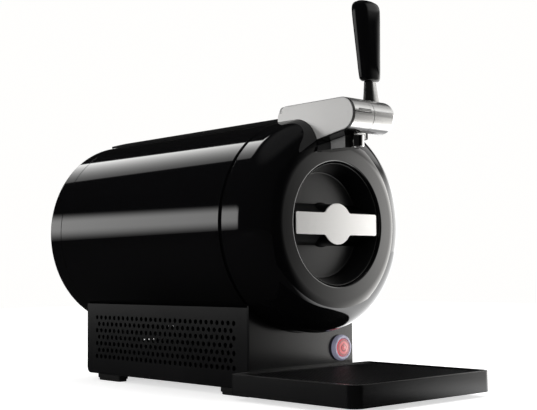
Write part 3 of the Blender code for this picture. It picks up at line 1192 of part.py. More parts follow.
def build_tray(floor):
    front = depth(-TRAY_REACH)
    back = depth(TRAY_BACK)

    def inset(by, behind):
        front_corner = max(TRAY_CORNER - by, CLEARANCE)
        back_corner = max(TRAY_BACK_CORNER - by, CLEARANCE)
        radii = [front_corner, front_corner, back_corner, back_corner]
        low = (-TRAY_HALF + by, front + by)
        return rounded(low, (TRAY_HALF - by, back - behind), radii, CORNER_STEPS)

    height = TRAY_TOP_Z - TRAY_BOTTOM_Z
    tray = plate("drip_tray", inset(0, 0), height, (0, 0, TRAY_BOTTOM_Z + height / 2), "XY",
                 "satin", solid=True)
    seat_z = TRAY_TOP_Z - TRAY_SEAT
    rim = plate("rim_room", inset(TRAY_WALL, TRAY_BACK_LEDGE), TRAY_SEAT + OVERRUN,
                (0, 0, seat_z + (TRAY_SEAT + OVERRUN) / 2), "XY")
    bottom = TRAY_BOTTOM_Z + TRAY_FLOOR
    basin_height = TRAY_TOP_Z + OVERRUN - bottom
    ledge = TRAY_WALL + TRAY_LEDGE
    basin = plate("basin_room", inset(ledge, TRAY_BACK_LEDGE + TRAY_LEDGE), basin_height,
                  (0, 0, bottom + basin_height / 2), "XY")
    cut(tray, rim, basin)
    prong_low = floor + CLEARANCE
    for x in (-PRONG_X, PRONG_X):
        low = (x - PRONG_HALF, back - PRONG_ROOT, prong_low)
        join(tray, block("prong", low, (x + PRONG_HALF, back + PRONG_LENGTH, prong_low + PRONG_THICK)))

    slots = []
    slot_left = -TRAY_HALF + GRID_MARGIN
    slot_span = (2 * (TRAY_HALF - GRID_MARGIN) - (GRID_SLOT_ROWS - 1) * GRID_BRIDGE) / GRID_SLOT_ROWS
    first = front + GRID_MARGIN
    last = back - TRAY_BACK_LEDGE - GRID_MARGIN / 2
    pitch = (last - first - GRID_SLOT_WIDTH) / (GRID_SLOTS - 1)
    for row in range(GRID_SLOTS):
        y = first + row * pitch
        for column in range(GRID_SLOT_ROWS):
            x = slot_left + column * (slot_span + GRID_BRIDGE)
            far = (x + slot_span, y + GRID_SLOT_WIDTH)
            slots.append([(x, y), (far[0], y), far, (x, far[1])])
    outline = inset(TRAY_WALL + CLEARANCE, TRAY_BACK_LEDGE + CLEARANCE)
    grid = plate("drip_grid", outline, GRID_THICK, (0, 0, seat_z + CLEARANCE + GRID_THICK / 2), "XY",
                 "satin", holes=slots, solid=True)
    tray_axis = joint_empty("tray_axis", (0, back, TRAY_BOTTOM_Z), tray)
    grid_axis = joint_empty("grid_axis", (0, back, seat_z), grid)
    grid_axis.parent = tray_axis
    grid_axis.matrix_parent_inverse = Matrix.Translation(-tray_axis.location)


def main():
    start_clean()
    build_shell()
    jacket = build_chamber()
    build_cooler(jacket)
    build_air()
    build_door()
    build_tap()
    floor = build_base()
    build_button()
    build_inside_base(floor)
    build_tray(floor)


main()
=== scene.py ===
# Mini keg beer dispenser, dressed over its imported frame
from math import acos, asin, atan2, copysign, cos, pi, radians, sin, sqrt, tan
from types import SimpleNamespace as Values

import bmesh
import bpy
from mathutils import Matrix, Vector


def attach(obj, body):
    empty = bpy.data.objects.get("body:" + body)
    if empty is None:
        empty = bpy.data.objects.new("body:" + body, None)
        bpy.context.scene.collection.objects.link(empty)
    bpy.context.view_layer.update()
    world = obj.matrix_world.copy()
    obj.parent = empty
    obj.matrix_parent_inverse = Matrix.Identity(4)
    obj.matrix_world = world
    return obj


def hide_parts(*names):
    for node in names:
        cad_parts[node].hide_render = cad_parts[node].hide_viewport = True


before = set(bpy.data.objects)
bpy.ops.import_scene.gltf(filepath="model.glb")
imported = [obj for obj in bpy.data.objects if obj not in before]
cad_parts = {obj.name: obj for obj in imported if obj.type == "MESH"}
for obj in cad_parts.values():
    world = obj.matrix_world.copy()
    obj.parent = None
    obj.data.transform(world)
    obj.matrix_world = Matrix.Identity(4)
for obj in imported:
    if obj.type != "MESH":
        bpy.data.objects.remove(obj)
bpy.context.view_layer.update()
scene = bpy.context.scene
scene.view_settings.view_transform = "Standard"

faceY = -0.1433      # plane of the door opening's rim
axisZ = 0.1944       # height of the cylinder's axis
bodyRadius = 0.125
gap = 0.0003         # between pieces that touch
over = 0.004         # how far a cutter runs past what it cuts
weld = 0.000005      # points closer than this are one
smoothLimit = radians(34)
straightLimit = pi - 0.001
bodySteps = 176      # facets round the cylinder


def back(depth):
    # names that end in At are depths behind the face, and those that end in Z are heights
    return faceY + depth


# Outlines: lists of points in a plane

def ovalPoints(centre, across, along, start, end, count):
    step = (end - start) / count
    return [(centre[0] + across * cos(start + step * i),
             centre[1] + along * sin(start + step * i)) for i in range(count + 1)]


def arcPoints(centre, radius, start, end, count):
    return ovalPoints(centre, radius, radius, start, end, count)


def ringPoints(centre, radius, count):
    return arcPoints(centre, radius, 0, 2 * pi, count)[:-1]


def softened(points, radii, count=6, closed=True):
    # rounds each corner of a line by its own radius; 0 keeps it sharp
    made = []
    total = len(points)
    for i, (point, radius) in enumerate(zip(points, radii)):
        if not radius or (not closed and i in (0, total - 1)):
            made.append(tuple(point))
            continue
        here = Vector(point)
        before = (Vector(points[i - 1]) - here).normalized()
        after = (Vector(points[(i + 1) % total]) - here).normalized()
        spread = before.angle(after)
        if spread > straightLimit:
            made.append(tuple(point))
            continue
        middle = here + (before + after).normalized() * (radius / sin(spread / 2))
        first = here + before * (radius / tan(spread / 2)) - middle
        last = here + after * (radius / tan(spread / 2)) - middle
        turn = first.angle_signed(last)
        begin = atan2(first.y, first.x)
        made += [(middle.x + radius * cos(begin - turn * k / count),
                  middle.y + radius * sin(begin - turn * k / count)) for k in range(count + 1)]
    return made


def boxOutline(low, high, radii, count):
    corners = [(low[0], low[1]), (high[0], low[1]), (high[0], high[1]), (low[0], high[1])]
    return softened(corners, radii, count)


# Meshes

def finishMesh(name, bm):
    bmesh.ops.remove_doubles(bm, verts=bm.verts, dist=weld)
    bmesh.ops.recalc_face_normals(bm, faces=bm.faces)
    mesh = bpy.data.meshes.new(name)
    bm.to_mesh(mesh)
    bm.free()
    mesh.shade_smooth()
    mesh.set_sharp_from_angle(angle=smoothLimit)
    return mesh


def loose(name, data):
    obj = bpy.data.objects.new(name, data)
    scene.collection.objects.link(obj)
    return obj


def lofted(name, rings, closed=False, capped=True):
    # faces from ring to ring, of which any may be a single point, and back to the first if it is closed
    bm = bmesh.new()
    rows = [[bm.verts.new(place) for place in ring] for ring in rings]
    count = max(len(row) for row in rows)
    for first, second in zip(rows, rows[1:] + rows[:closed]):
        for i in range(count):
            j = (i + 1) % count
            quad = [row[k % len(row)] for row, k in ((first, i), (first, j), (second, j), (second, i))]
            corners = [v for k, v in enumerate(quad) if v not in quad[:k]]
            if len(corners) > 2:
                bm.faces.new(corners)
    if capped:
        bm.faces.new(list(reversed(rows[0])))
        bm.faces.new(rows[-1])
    return loose(name, finishMesh(name, bm))


def turned(name, profile, steps, centre=(0, faceY, axisZ), axis="Y"):
    # profile is (radius, place along the axis); it closes on itself unless it starts on the axis
    middle = Vector(centre)
    rings = []
    for radius, along in profile:
        ring = []
        for i in range(steps if radius > 0 else 1):
            angle = 2 * pi * i / steps
            u, v = radius * cos(angle), radius * sin(angle)
            ring.append(middle + Vector({"X": (along, u, v), "Y": (u, along, v), "Z": (u, v, along)}[axis]))
        rings.append(ring)
    return lofted(name, rings, profile[0][0] > 0, False)


planeTurns = {"XY": (0, 0, 0), "XZ": (pi / 2, 0, 0), "YZ": (pi / 2, 0, pi / 2)}


def settled(obj):
    # the object's evaluated mesh, in world places, in the object's stead
    bpy.context.view_layer.update()
    graph = bpy.context.evaluated_depsgraph_get()
    mesh = bpy.data.meshes.new_from_object(obj.evaluated_get(graph))
    mesh.transform(obj.matrix_world)
    bm = bmesh.new()
    bm.from_mesh(mesh)
    name = obj.name
    bpy.data.objects.remove(obj)
    return loose(name, finishMesh(name, bm))


def slab(name, outline, low, high, plane, edge=0.0, holes=()):
    # an outline with holes between two places on the plane's own axis, its edges rounded
    curve = bpy.data.curves.new(name, "CURVE")
    curve.dimensions = "2D"
    curve.fill_mode = "BOTH"
    curve.extrude = (high - low) / 2 - edge
    curve.bevel_depth = edge
    curve.bevel_resolution = 2
    curve.offset = -edge
    for loop in (outline, *holes):
        spline = curve.splines.new("POLY")
        spline.points.add(len(loop) - 1)
        for point, place in zip(spline.points, loop):
            point.co = (place[0], place[1], 0, 1)
        spline.use_cyclic_u = True
    obj = loose(name, curve)
    middle = (low + high) / 2
    obj.location = {"XY": (0, 0, middle), "XZ": (0, middle, 0), "YZ": (middle, 0, 0)}[plane]
    obj.rotation_euler = planeTurns[plane]
    return settled(obj)


def box(name, xs, ats, zs, edge=0.0):
    # by its ends in x, behind the face and in z
    low, high = (Vector((x, back(at), z)) for x, at, z in zip(xs, ats, zs))
    bm = bmesh.new()
    bmesh.ops.create_cube(bm, size=1.0)
    bmesh.ops.scale(bm, vec=high - low, verts=bm.verts)
    bmesh.ops.translate(bm, vec=(low + high) / 2, verts=bm.verts)
    if edge:
        bmesh.ops.bevel(bm, geom=bm.edges, offset=edge, segments=3, profile=0.5, affect="EDGES")
    return loose(name, finishMesh(name, bm))


def shaped(obj, kind, *tools):
    # cuts or joins the tools, which are used up
    for tool in tools:
        step = obj.modifiers.new(kind, "BOOLEAN")
        step.operation = kind
        step.solver = "EXACT"
        step.object = tool
    made = settled(obj)
    for tool in tools:
        bpy.data.objects.remove(tool)
    return made


def carved(obj, *tools):
    return shaped(obj, "DIFFERENCE", *tools)


def rod(name, radius, start, end, axis, centre, steps=32):
    return turned(name, [(0, start), (radius, start), (radius, end), (0, end)], steps, centre, axis)


def fit(obj, finish, node, body="housing"):
    # gives a piece its finish and body, and hides the frame node that it stands for
    obj.data.materials.clear()
    obj.data.materials.append(finish)
    even = obj.modifiers.new("evenNormals", "WEIGHTED_NORMAL")
    even.keep_sharp = True
    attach(obj, body)
    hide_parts(node)


# Node trees written as expressions

class Sock:
    # an output socket that can be calculated with
    def __init__(self, tree, out):
        self.tree = tree
        self.out = out

    def maths(self, kind, other=None, swapped=False):
        node = self.tree.nodes.new("ShaderNodeMath")
        node.operation = kind
        inputs = (self,) if other is None else ((other, self) if swapped else (self, other))
        for socket, value in zip(node.inputs, inputs):
            if isinstance(value, Sock):
                self.tree.links.new(value.out, socket)
            else:
                socket.default_value = value
        return Sock(self.tree, node.outputs[0])

    def __add__(self, other): return self.maths("ADD", other)
    def __sub__(self, other): return self.maths("SUBTRACT", other)
    def __rsub__(self, other): return self.maths("SUBTRACT", other, True)
    def __mul__(self, other): return self.maths("MULTIPLY", other)
    def __gt__(self, other): return self.maths("GREATER_THAN", other)
    def __lt__(self, other): return self.maths("LESS_THAN", other)
    def __pow__(self, other): return self.maths("POWER", other)

    def clipped(self):
        held = self.maths("ADD", 0.0)
        held.out.node.use_clamp = True
        return held

    def ramped(self, low, high):
        # 0 below low and 1 above high, with soft ends
        node = self.tree.nodes.new("ShaderNodeMapRange")
        node.interpolation_type = "SMOOTHSTEP"
        self.tree.links.new(self.out, node.inputs["Value"])
        node.inputs["From Min"].default_value = low
        node.inputs["From Max"].default_value = high
        return Sock(self.tree, node.outputs["Result"])

    def plateau(self, low, rise, top, fall):
        # 1 between rise and top, and 0 below low and above fall
        return self.ramped(low, rise) * (1 - self.ramped(top, fall))


class Finish:
    # a material, or the world, with one way to add any node
    def __init__(self, owner):
        owner.use_nodes = True
        self.owner = owner
        self.tree = owner.node_tree
        self.tree.nodes.clear()

    def node(self, kind, **values):
        # an input goes by its name, with _ for a space, or by its number after an i
        made = self.tree.nodes.new("ShaderNode" + kind)
        for key, value in values.items():
            name = key.replace("_", " ")
            socket = made.inputs[name if name in made.inputs else int(key[1:])]
            if isinstance(value, Sock):
                self.tree.links.new(value.out, socket)
            elif socket.type == "RGBA":
                socket.default_value = (*value, 1.0)
            else:
                socket.default_value = value
        return made

    def out(self, made, name=0):
        return Sock(self.tree, made.outputs[name])

    def blend(self, factor, first, second):
        made = self.node("Mix", i0=factor, i6=first, i7=second)
        made.data_type = "RGBA"
        return self.out(made, 2)

    def parts(self, place):
        # x, y and z of one of the texture coordinates
        split = self.node("SeparateXYZ", Vector=self.out(self.node("TexCoord"), place))
        return [self.out(split, axis) for axis in "XYZ"]

    def surface(self, shader):
        kind = "OutputWorld" if isinstance(self.owner, bpy.types.World) else "OutputMaterial"
        self.node(kind, Surface=self.out(shader))
        return self.owner

    def principled(self, **values):
        return self.surface(self.node("BsdfPrincipled", **values))


# Camera, surroundings and floor
print("stage: camera and studio")

camera = Values(
    place=(-0.88, -0.979, 0.139), ahead=(0.6782, 0.7315, 0.0699), right=(0.7337, -0.6795, -0.0082),
    lens=71.05, shift=(-0.0016, -0.0115), sensor=36, clip=(0.05, 60),
)


def placeCamera():
    data = bpy.data.cameras.new("photoCamera")
    data.sensor_width, data.lens = camera.sensor, camera.lens
    data.shift_x, data.shift_y = camera.shift
    data.clip_start, data.clip_end = camera.clip
    obj = loose("photoCamera", data)
    ahead = Vector(camera.ahead).normalized()
    right = Vector(camera.right)
    right = (right - ahead * right.dot(ahead)).normalized()
    turn = Matrix((right, right.cross(ahead), -ahead)).transposed().to_4x4()
    turn.translation = camera.place
    obj.matrix_world = turn
    scene.camera = obj


# Panels of light by the direction that a ray leaves in. Each comes up over its first two values and goes
# down over the last two: turns are in degrees, and rises and x are parts of the direction.
studio = Values(
    tint=(1.0, 0.995, 0.985),
    fill=0.42,           # what matte surfaces see from everywhere
    dark=0.006,          # what gloss sees between the panels
    # by turn, rise and light: on the right, low behind on the left, and soft and high in front on the right
    side=((-40, -12, 24, 40), (-0.3, -0.1, 0.09, 0.3), 3.4),
    wall=((104, 116, 139, 146), (-0.075, 0.09, 0.16, 0.272), 1.75),
    front=((-62, -48, 2, 16), (0.26, 0.33, 0.5, 0.8), 1.0),
    topAcross=(-0.135, -0.118, 0.187, 0.203),   # the high box behind
    topRise=(0.4, 0.46, 0.7, 0.76),
    topLight=(18.0, 0.22, 0.27),     # grows with the square of x from its dark end
    crownRise=(0.8, 0.95),
    crownLight=0.08,
)


def dressWorld():
    world = Finish(bpy.data.worlds.new("studio"))
    scene.world = world.owner
    x, y, z = world.parts("Generated")
    turn = y.maths("ARCTAN2", x) * (180 / pi)     # 0 is to the right, -90 to the front
    panels = z.ramped(*studio.crownRise) * studio.crownLight + studio.dark
    for turns, rises, light in (studio.side, studio.wall, studio.front):
        panels += turn.plateau(*turns) * z.plateau(*rises) * light
    gain, start, least = studio.topLight
    reach = x + start
    panels += (x.plateau(*studio.topAcross) * (y > 0.0) * z.plateau(*studio.topRise)
               * (reach * reach * gain + least))
    path = world.node("LightPath")
    seen = world.out(path, "Is Camera Ray")
    soft = world.out(path, "Is Diffuse Ray")
    strength = seen + (1 - seen) * (panels + soft * studio.fill)
    world.surface(world.node("Background", Color=studio.tint, Strength=strength))


def sheet(name, corners):
    mesh = bpy.data.meshes.new(name)
    mesh.from_pydata(corners, [], [(0, 1, 2, 3)])
    return loose(name, mesh)


# The floor is pale to the camera and dark in reflections, but for a bright part on the right
floor = Values(size=6.0, pale=0.93, glow=0.62, dim=0.018, lit=(0.01, 0.22), shine=2.4)


def layFloor():
    half = floor.size / 2
    obj = sheet("floor", [(-half, -half, 0), (half, -half, 0), (half, half, 0), (-half, half, 0)])
    finish = Finish(bpy.data.materials.new("paleFloor"))
    path = finish.node("LightPath")
    seen, mirrored = finish.out(path, "Is Camera Ray"), finish.out(path, "Is Glossy Ray")
    colour = finish.blend(seen, (floor.dim,) * 3, (floor.pale,) * 3)
    matte = finish.out(finish.node("BsdfDiffuse", Color=colour))
    across = finish.parts("Object")[0]
    strength = seen * floor.glow + mirrored * across.ramped(*floor.lit) * floor.shine
    glow = finish.out(finish.node("Emission", Color=(1, 1, 1), Strength=strength))
    obj.data.materials.append(finish.surface(finish.node("AddShader", i0=matte, i1=glow)))


# Near panel in front on the right, seen only in reflections, that brightens to its right end
nearPanel = Values(
    left=(-0.124, -0.518), right=(0.38, -0.266), low=0.0, high=0.435, tint=(1.0, 0.985, 0.96), light=7.2,
    rise=3.4, start=0.286, upper=(0.3, 0.335), upperShare=0.42, top=(0.415, 0.43),
)


def hangPanel():
    (x1, y1), (x2, y2) = nearPanel.left, nearPanel.right
    low, high, start = nearPanel.low, nearPanel.high, nearPanel.start
    obj = sheet("nearPanel", [(x1, y1, low), (x2, y2, low), (x2, y2, high), (x1, y1, high)])
    finish = Finish(bpy.data.materials.new("panelLight"))
    along, _, height = finish.parts("Generated")
    along = ((along - start) * (1 / (1 - start))).clipped()
    height = height * (high - low) + low
    drop = 1 - height.ramped(*nearPanel.upper) * (1 - nearPanel.upperShare)
    drop = drop * (1 - height.ramped(*nearPanel.top))
    strength = along ** nearPanel.rise * drop * nearPanel.light
    glow = finish.node("Emission", Color=nearPanel.tint, Strength=strength)
    obj.data.materials.append(finish.surface(glow))
    obj.visible_camera = False
    obj.visible_diffuse = False
    obj.visible_shadow = False


def hangLamp(name, place, target, size, power):
    data = bpy.data.lights.new(name, "AREA")
    data.shape = "RECTANGLE"
    data.size, data.size_y = size
    data.energy = power
    obj = loose(name, data)
    obj.location = place
    obj.rotation_euler = (Vector(target) - Vector(place)).to_track_quat("-Z", "Y").to_euler()
    obj.visible_camera = False
    obj.visible_glossy = False


lamps = {
    "overhead": ((0.3, -0.2, 1.9), (0.0, 0.0, 0.1), (1.4, 1.4), 13.0),
    "rightFill": ((1.9, -0.9, 0.9), (0.0, 0.0, 0.2), (0.9, 1.2), 9.0),
    "leftFill": ((-1.6, -0.2, 0.37), (0.0, -0.1, 0.25), (0.9, 0.5), 6.5),
}

placeCamera()
dressWorld()
layFloor()
hangPanel()
for lampName, lamp in lamps.items():
    hangLamp(lampName, *lamp)


# Finishes
print("stage: finishes")

# Plastics have a grain where they aren't polished. A metal's grain is lines where it is stretched.
black = (0.0045, 0.0045, 0.005)
deepBlack = (0.004, 0.004, 0.0045)
finishes = {
    "gloss": {"colour": (0.0035, 0.0035, 0.004), "rough": 0.045, "ior": 1.75},
    "satin": {"colour": black, "rough": 0.19, "ior": 1.44, "grain": 1700, "lift": 0.00003},
    "trayBlack": {"colour": black, "rough": 0.24, "ior": 1.66, "grain": 1700, "lift": 0.00003},
    "trim": {"colour": deepBlack, "rough": 0.55, "ior": 1.3, "grain": 1100, "lift": 0.00005},
    "dish": {"colour": (0.005, 0.005, 0.0055), "rough": 0.32, "ior": 1.46},
    "grip": {"colour": deepBlack, "rough": 0.075, "ior": 1.36},
    "gridBlack": {"colour": (0.006, 0.006, 0.0065), "rough": 0.5, "ior": 1.14, "grain": 900,
                  "lift": 0.00004},
    "rubber": {"colour": (0.016, 0.016, 0.016), "rough": 0.78, "ior": 1.45, "grain": 900, "lift": 0.00008},
    "foam": {"colour": (0.78, 0.74, 0.6), "rough": 0.9, "ior": 1.4, "grain": 320, "lift": 0.0004},
    "chrome": {"colour": (0.83, 0.825, 0.81), "rough": 0.1, "grain": 500, "bump": 0.008},
    "softChrome": {"colour": (0.83, 0.825, 0.81), "rough": 0.24, "grain": 500, "bump": 0.008},
    # silver's rim colour is a painted dark reflection on the rounded edges of its plates
    "silver": {"colour": (0.84, 0.835, 0.825), "rough": 0.34, "metallic": 0.55, "rim": (0.05, 0.05, 0.05),
               "rimRough": 0.14, "stretch": (1, 0.3, 1), "grain": 1100, "bump": 0.012},
    # bright's inner colour is a painted shade on undersides and joints
    "bright": {"colour": (0.84, 0.835, 0.825), "rough": 0.2, "metallic": 0.85, "inner": (0.06, 0.06, 0.06),
               "grain": 700, "bump": 0.006},
    "plate": {"colour": (0.8, 0.795, 0.785), "rough": 0.4, "metallic": 0.6, "stretch": (0.06, 1, 1),
              "grain": 1500, "bump": 0.05},
    "steel": {"colour": (0.56, 0.56, 0.56), "rough": 0.3, "stretch": (1, 1, 0.2), "grain": 900,
              "bump": 0.05},
    "aluminium": {"colour": (0.7, 0.71, 0.72), "rough": 0.42, "stretch": (1, 0.3, 1), "grain": 700,
                  "bump": 0.06},
    # clearRing's glow is painted light that lifts the ring's shaded side
    "clearRing": {"colour": (0.5, 0.5, 0.62), "rough": 0.26, "metallic": 0.1, "glow": (0.55, 0.55, 0.78),
                  "strength": 0.16, "grain": 600, "bump": 0.01},
    "litRed": {"colour": (0.55, 0.05, 0.06), "mark": (0.12, 0.002, 0.004), "glow": (1.0, 0.22, 0.24),
               "markGlow": (0.16, 0.0, 0.005), "strength": 0.38, "rough": 0.25, "ior": 1.5, "coat": 0.6,
               "coatRough": 0.05},
}

# How each plastic varies: shares of its colour and roughness, the grain's detail and strength, and the size,
# detail, strength and height of the wave on a polished one
cloudy = Values(
    size=9.0, tone=(0.8, 1.25), rough=(0.85, 0.3), grain=(1.0, 0.35), wave=(24.0, 0, 0.02, 0.0004),
)
# The same for metal, with the ranges of a face's normal where it is a rim, an underside or a joint, which
# get painted shade
worked = Values(
    size=14.0, tone=0.94, rough=(0.75, 0.25, 0.2), detail=3.0, lift=0.00004, rim=(0.55, 0.9),
    under=(0.72, 0.86), aside=(0.8, 0.95),
)
# Power symbol and dark rim, by shares of the lens's half width
symbol = Values(
    ring=(0.3, 0.34, 0.42, 0.46), opening=(0.13, 0.17), stroke=(0.05, 0.09),
    strokeRise=(0.06, 0.1, 0.52, 0.56), rim=(0.7, 0.8, 0.9, 0.97), rimShare=0.8,
)


def speckle(finish, size, detail=2.0, stretch=(1, 1, 1)):
    place = finish.out(finish.node("TexCoord"), "Object")
    moved = finish.node("Mapping", Vector=place, Scale=stretch)
    return finish.out(finish.node("TexNoise", Vector=finish.out(moved), Scale=size, Detail=detail))


def scaled(colour, share):
    return tuple(c * share for c in colour)


def plastic(name):
    look = finishes[name]
    finish = Finish(bpy.data.materials.new(name))
    cloud = speckle(finish, cloudy.size)
    tone = finish.blend(cloud, *(scaled(look["colour"], share) for share in cloudy.tone))
    least, span = cloudy.rough
    rough = cloud * (look["rough"] * span) + look["rough"] * least
    size, detail, strength, lift = cloudy.wave
    if "grain" in look:
        size, lift = look["grain"], look["lift"]
        detail, strength = cloudy.grain
    bump = finish.node("Bump", Height=speckle(finish, size, detail), Strength=strength, Distance=lift)
    return finish.principled(Base_Color=tone, IOR=look["ior"], Roughness=rough, Normal=finish.out(bump))


def metal(name):
    look = finishes[name]
    finish = Finish(bpy.data.materials.new(name))
    grain = speckle(finish, look["grain"], worked.detail, look.get("stretch", (1, 1, 1)))
    cloud = speckle(finish, worked.size)
    tone = finish.blend(grain, scaled(look["colour"], worked.tone), look["colour"])
    least, fine, broad = (look["rough"] * share for share in worked.rough)
    rough = grain * fine + cloud * broad + least
    if "rim" in look:
        # the narrow rim of a plate is polished, and its colour is painted dark: a painted reflection of the
        # dark studio, picked out by the normal
        flat = finish.parts("Normal")[0].maths("ABSOLUTE").ramped(*worked.rim)
        tone = finish.blend(flat, look["rim"], tone)
        rough = rough * flat + (1 - flat) * look["rimRough"]
    if "inner" in look:
        # faces that look down or to the left, undersides and joints, get a painted shade
        x, _, z = finish.parts("Normal")
        paintedShade = (0 - z).ramped(*worked.under) + (0 - x).ramped(*worked.aside)
        tone = finish.blend(paintedShade.clipped(), tone, look["inner"])
    bump = finish.node("Bump", Height=grain, Strength=look["bump"], Distance=worked.lift)
    # a glow, where a finish gives one, is painted light, as on the clear ring
    glow = {"Emission_Color": look["glow"], "Emission_Strength": look["strength"]} if "glow" in look else {}
    return finish.principled(Base_Color=tone, Metallic=look.get("metallic", 1.0), Roughness=rough,
                             Normal=finish.out(bump), **glow)


def lens(name):
    # a lit red lens with a dark rim and a power symbol
    look = finishes[name]
    finish = Finish(bpy.data.materials.new(name))
    x, _, z = (part * 2 - 1 for part in finish.parts("Generated"))
    away = (x * x + z * z).maths("SQRT")
    wide = (x * x).maths("SQRT")
    ring = away.plateau(*symbol.ring)
    opening = wide.ramped(*symbol.opening) * (z > 0) + (z < 0)
    stroke = (1 - wide.ramped(*symbol.stroke)) * z.plateau(*symbol.strokeRise)
    rim = away.plateau(*symbol.rim) * symbol.rimShare
    mark = (ring * opening + stroke + rim).clipped()
    tone = finish.blend(mark, look["colour"], look["mark"])
    glow = finish.blend(mark, look["glow"], look["markGlow"])
    return finish.principled(Base_Color=tone, Roughness=look["rough"], IOR=look["ior"], Emission_Color=glow,
                             Emission_Strength=look["strength"], Coat_Weight=look["coat"],
                             Coat_Roughness=look["coatRough"])


gloss, satin, trayBlack, trim, dishBlack, gripBlack, gridBlack, rubber, foam = (plastic(name) for name in (
    "gloss", "satin", "trayBlack", "trim", "dish", "grip", "gridBlack", "rubber", "foam"))
chrome, softChrome, silver, bright, brushed, steel, aluminium, clearRing = (metal(name) for name in (
    "chrome", "softChrome", "silver", "bright", "plate", "steel", "aluminium", "clearRing"))
litRed = lens("litRed")


# Body: nose, cylinder and rear cap
print("stage: body")

nose = Values(
    tubeRadius=0.037, tubeAt=0.033, faceAt=-0.003, rimRadius=0.0713, lipDepth=0.0085, slope=0.2778,
    rimRound=0.002, groove=(0.0575, 0.0625), edge=0.0009, wall=0.0025, faceWall=0.002,
    insideFrom=radians(-115), tubeHole=(0.046, 0.0045),     # the beer tube's hole: depth and radius
)
shell = Values(
    rearSeam=0.387, edge=0.0006, lipReach=0.0115, lipWall=0.0025, lipRoot=(0.0025, 0.004),
    cooler=(0.20145, 0.0453),       # middle and half of the opening for the cooler
)
cap = Values(end=0.415, round=0.0036, inRound=0.002, wall=0.0025, register=0.006)
noseCentre = bodyRadius - nose.tubeRadius


def noseBore(depth):
    return nose.rimRadius - nose.slope * depth


def noseLine(swell=0.0):
    # the nose's outside from the groove over its flat face to the rounded rim
    middle, roll = (noseCentre, nose.tubeAt), nose.tubeAt - nose.faceAt
    line = ovalPoints(middle, nose.tubeRadius + swell, roll + swell, 0, -pi / 2, 52)
    rimAt = nose.faceAt + nose.rimRound
    corner = (noseBore(rimAt) + nose.rimRound, rimAt)
    return line + arcPoints(corner, nose.rimRound + swell, -pi / 2, -pi, 10)


def makeNose():
    inner = bodyRadius - nose.wall
    groove = nose.groove[0]
    edge = softened([(bodyRadius, nose.tubeAt), (bodyRadius, groove), (inner, groove)],
                    [0, nose.edge, 0], 4, closed=False)
    roll = nose.tubeAt - nose.faceAt - nose.faceWall
    inside = ovalPoints((noseCentre, nose.tubeAt), nose.tubeRadius - nose.wall, roll,
                        nose.insideFrom, 0, 24)
    depth = nose.lipDepth
    lip = [(noseBore(depth), depth), (noseBore(depth) + nose.wall, depth)]
    obj = turned("noseShell", edge[::-1][:-1] + noseLine() + lip + inside, bodySteps)
    holeAt, holeRadius = nose.tubeHole
    hole = rod("tubeWay", holeRadius, axisZ + inner - over, axisZ + bodyRadius + over, "Z",
               (0, back(holeAt), 0))
    fit(carved(obj, hole), gloss, "nose_ring")


def makeCylinder():
    inner = bodyRadius - nose.wall
    front = nose.groove[1]
    rear = shell.rearSeam - gap
    # a lip runs forward from it into the nose
    lip, lipEnd, lipIn = inner - gap, front - shell.lipReach, inner - gap - shell.lipWall
    rootIn, rootOut = shell.lipRoot
    line = [(bodyRadius, rear), (bodyRadius, front), (lip, front), (lip, lipEnd), (lipIn, lipEnd),
            (lipIn, front + rootIn), (inner, front + rootOut), (inner, rear)]
    edge = shell.edge
    obj = turned("cylinderShell", softened(line, [edge, edge, 0, 0, 0, 0, 0, 0], 4), bodySteps)
    middle, half = shell.cooler
    cooler = box("coolerWay", (-half, half), (middle - half, middle + half),
                 (axisZ - bodyRadius - over, axisZ))
    fit(carved(obj, cooler), gloss, "main_shell")


def makeRearCap():
    lip = bodyRadius - nose.wall - gap
    seam, end, wall = shell.rearSeam, cap.end, cap.wall
    line = [(0, end), (bodyRadius, end), (bodyRadius, seam), (lip, seam), (lip, seam - cap.register),
            (lip - wall, seam - cap.register), (lip - wall, end - wall), (0, end - wall)]
    radii = [0, cap.round, shell.edge, 0, 0, 0, cap.inRound, 0]
    obj = turned("rearShell", softened(line, radii, 8, closed=False), bodySteps)
    fit(obj, gloss, "rear_cap")


makeNose()
makeCylinder()
makeRearCap()


# Door: dish, bar handle and its plate
print("stage: door")

door = Values(
    radius=0.0705, rimWidth=0.0015, lip=0.0012, floorAt=0.026, floorRadius=0.0613, thick=0.0025,
    shaft=0.0043, crest=0.0003, crestOut=0.0005,
    rounds=(0.0005, 0.0004, 0.0003, 0.0003, 0.0005, 0.0016, 0, 0),
)
handle = Values(
    plate=(0.0663, 0.0125, 0.0236, 0.005, 0.0022),    # half length and height, boss, fillet, corner
    plateProud=0.001, plateThick=0.0016, plateEdge=0.00035,
    front=(0.0648, 0.0115, 0.0226), floor=(0.0585, 0.0225, 0.0244),
    corner=0.0012, fillet=0.005, edge=0.0011, edgeShare=0.04, foot=0.0016, footShare=0.14,
    shares=(0.0, 0.012, 0.04, 0.1, 0.3, 0.5, 0.7, 0.86, 0.96, 1.0),
)


def doorRadius(depth):
    return door.radius - nose.slope * depth


def makeDish():
    rear = door.floorAt + door.thick
    rim = door.radius - door.rimWidth
    crest = door.crest
    line = [(doorRadius(rear), rear), (door.radius, door.lip),
            (door.radius - door.crestOut, crest), (rim + crest, crest), (rim, door.lip),
            (door.floorRadius, door.floorAt),
            (door.shaft, door.floorAt), (door.shaft, rear)]
    obj = turned("doorDish", softened(line, door.rounds, 5), 144)
    fit(obj, dishBlack, "door_dish", "door")


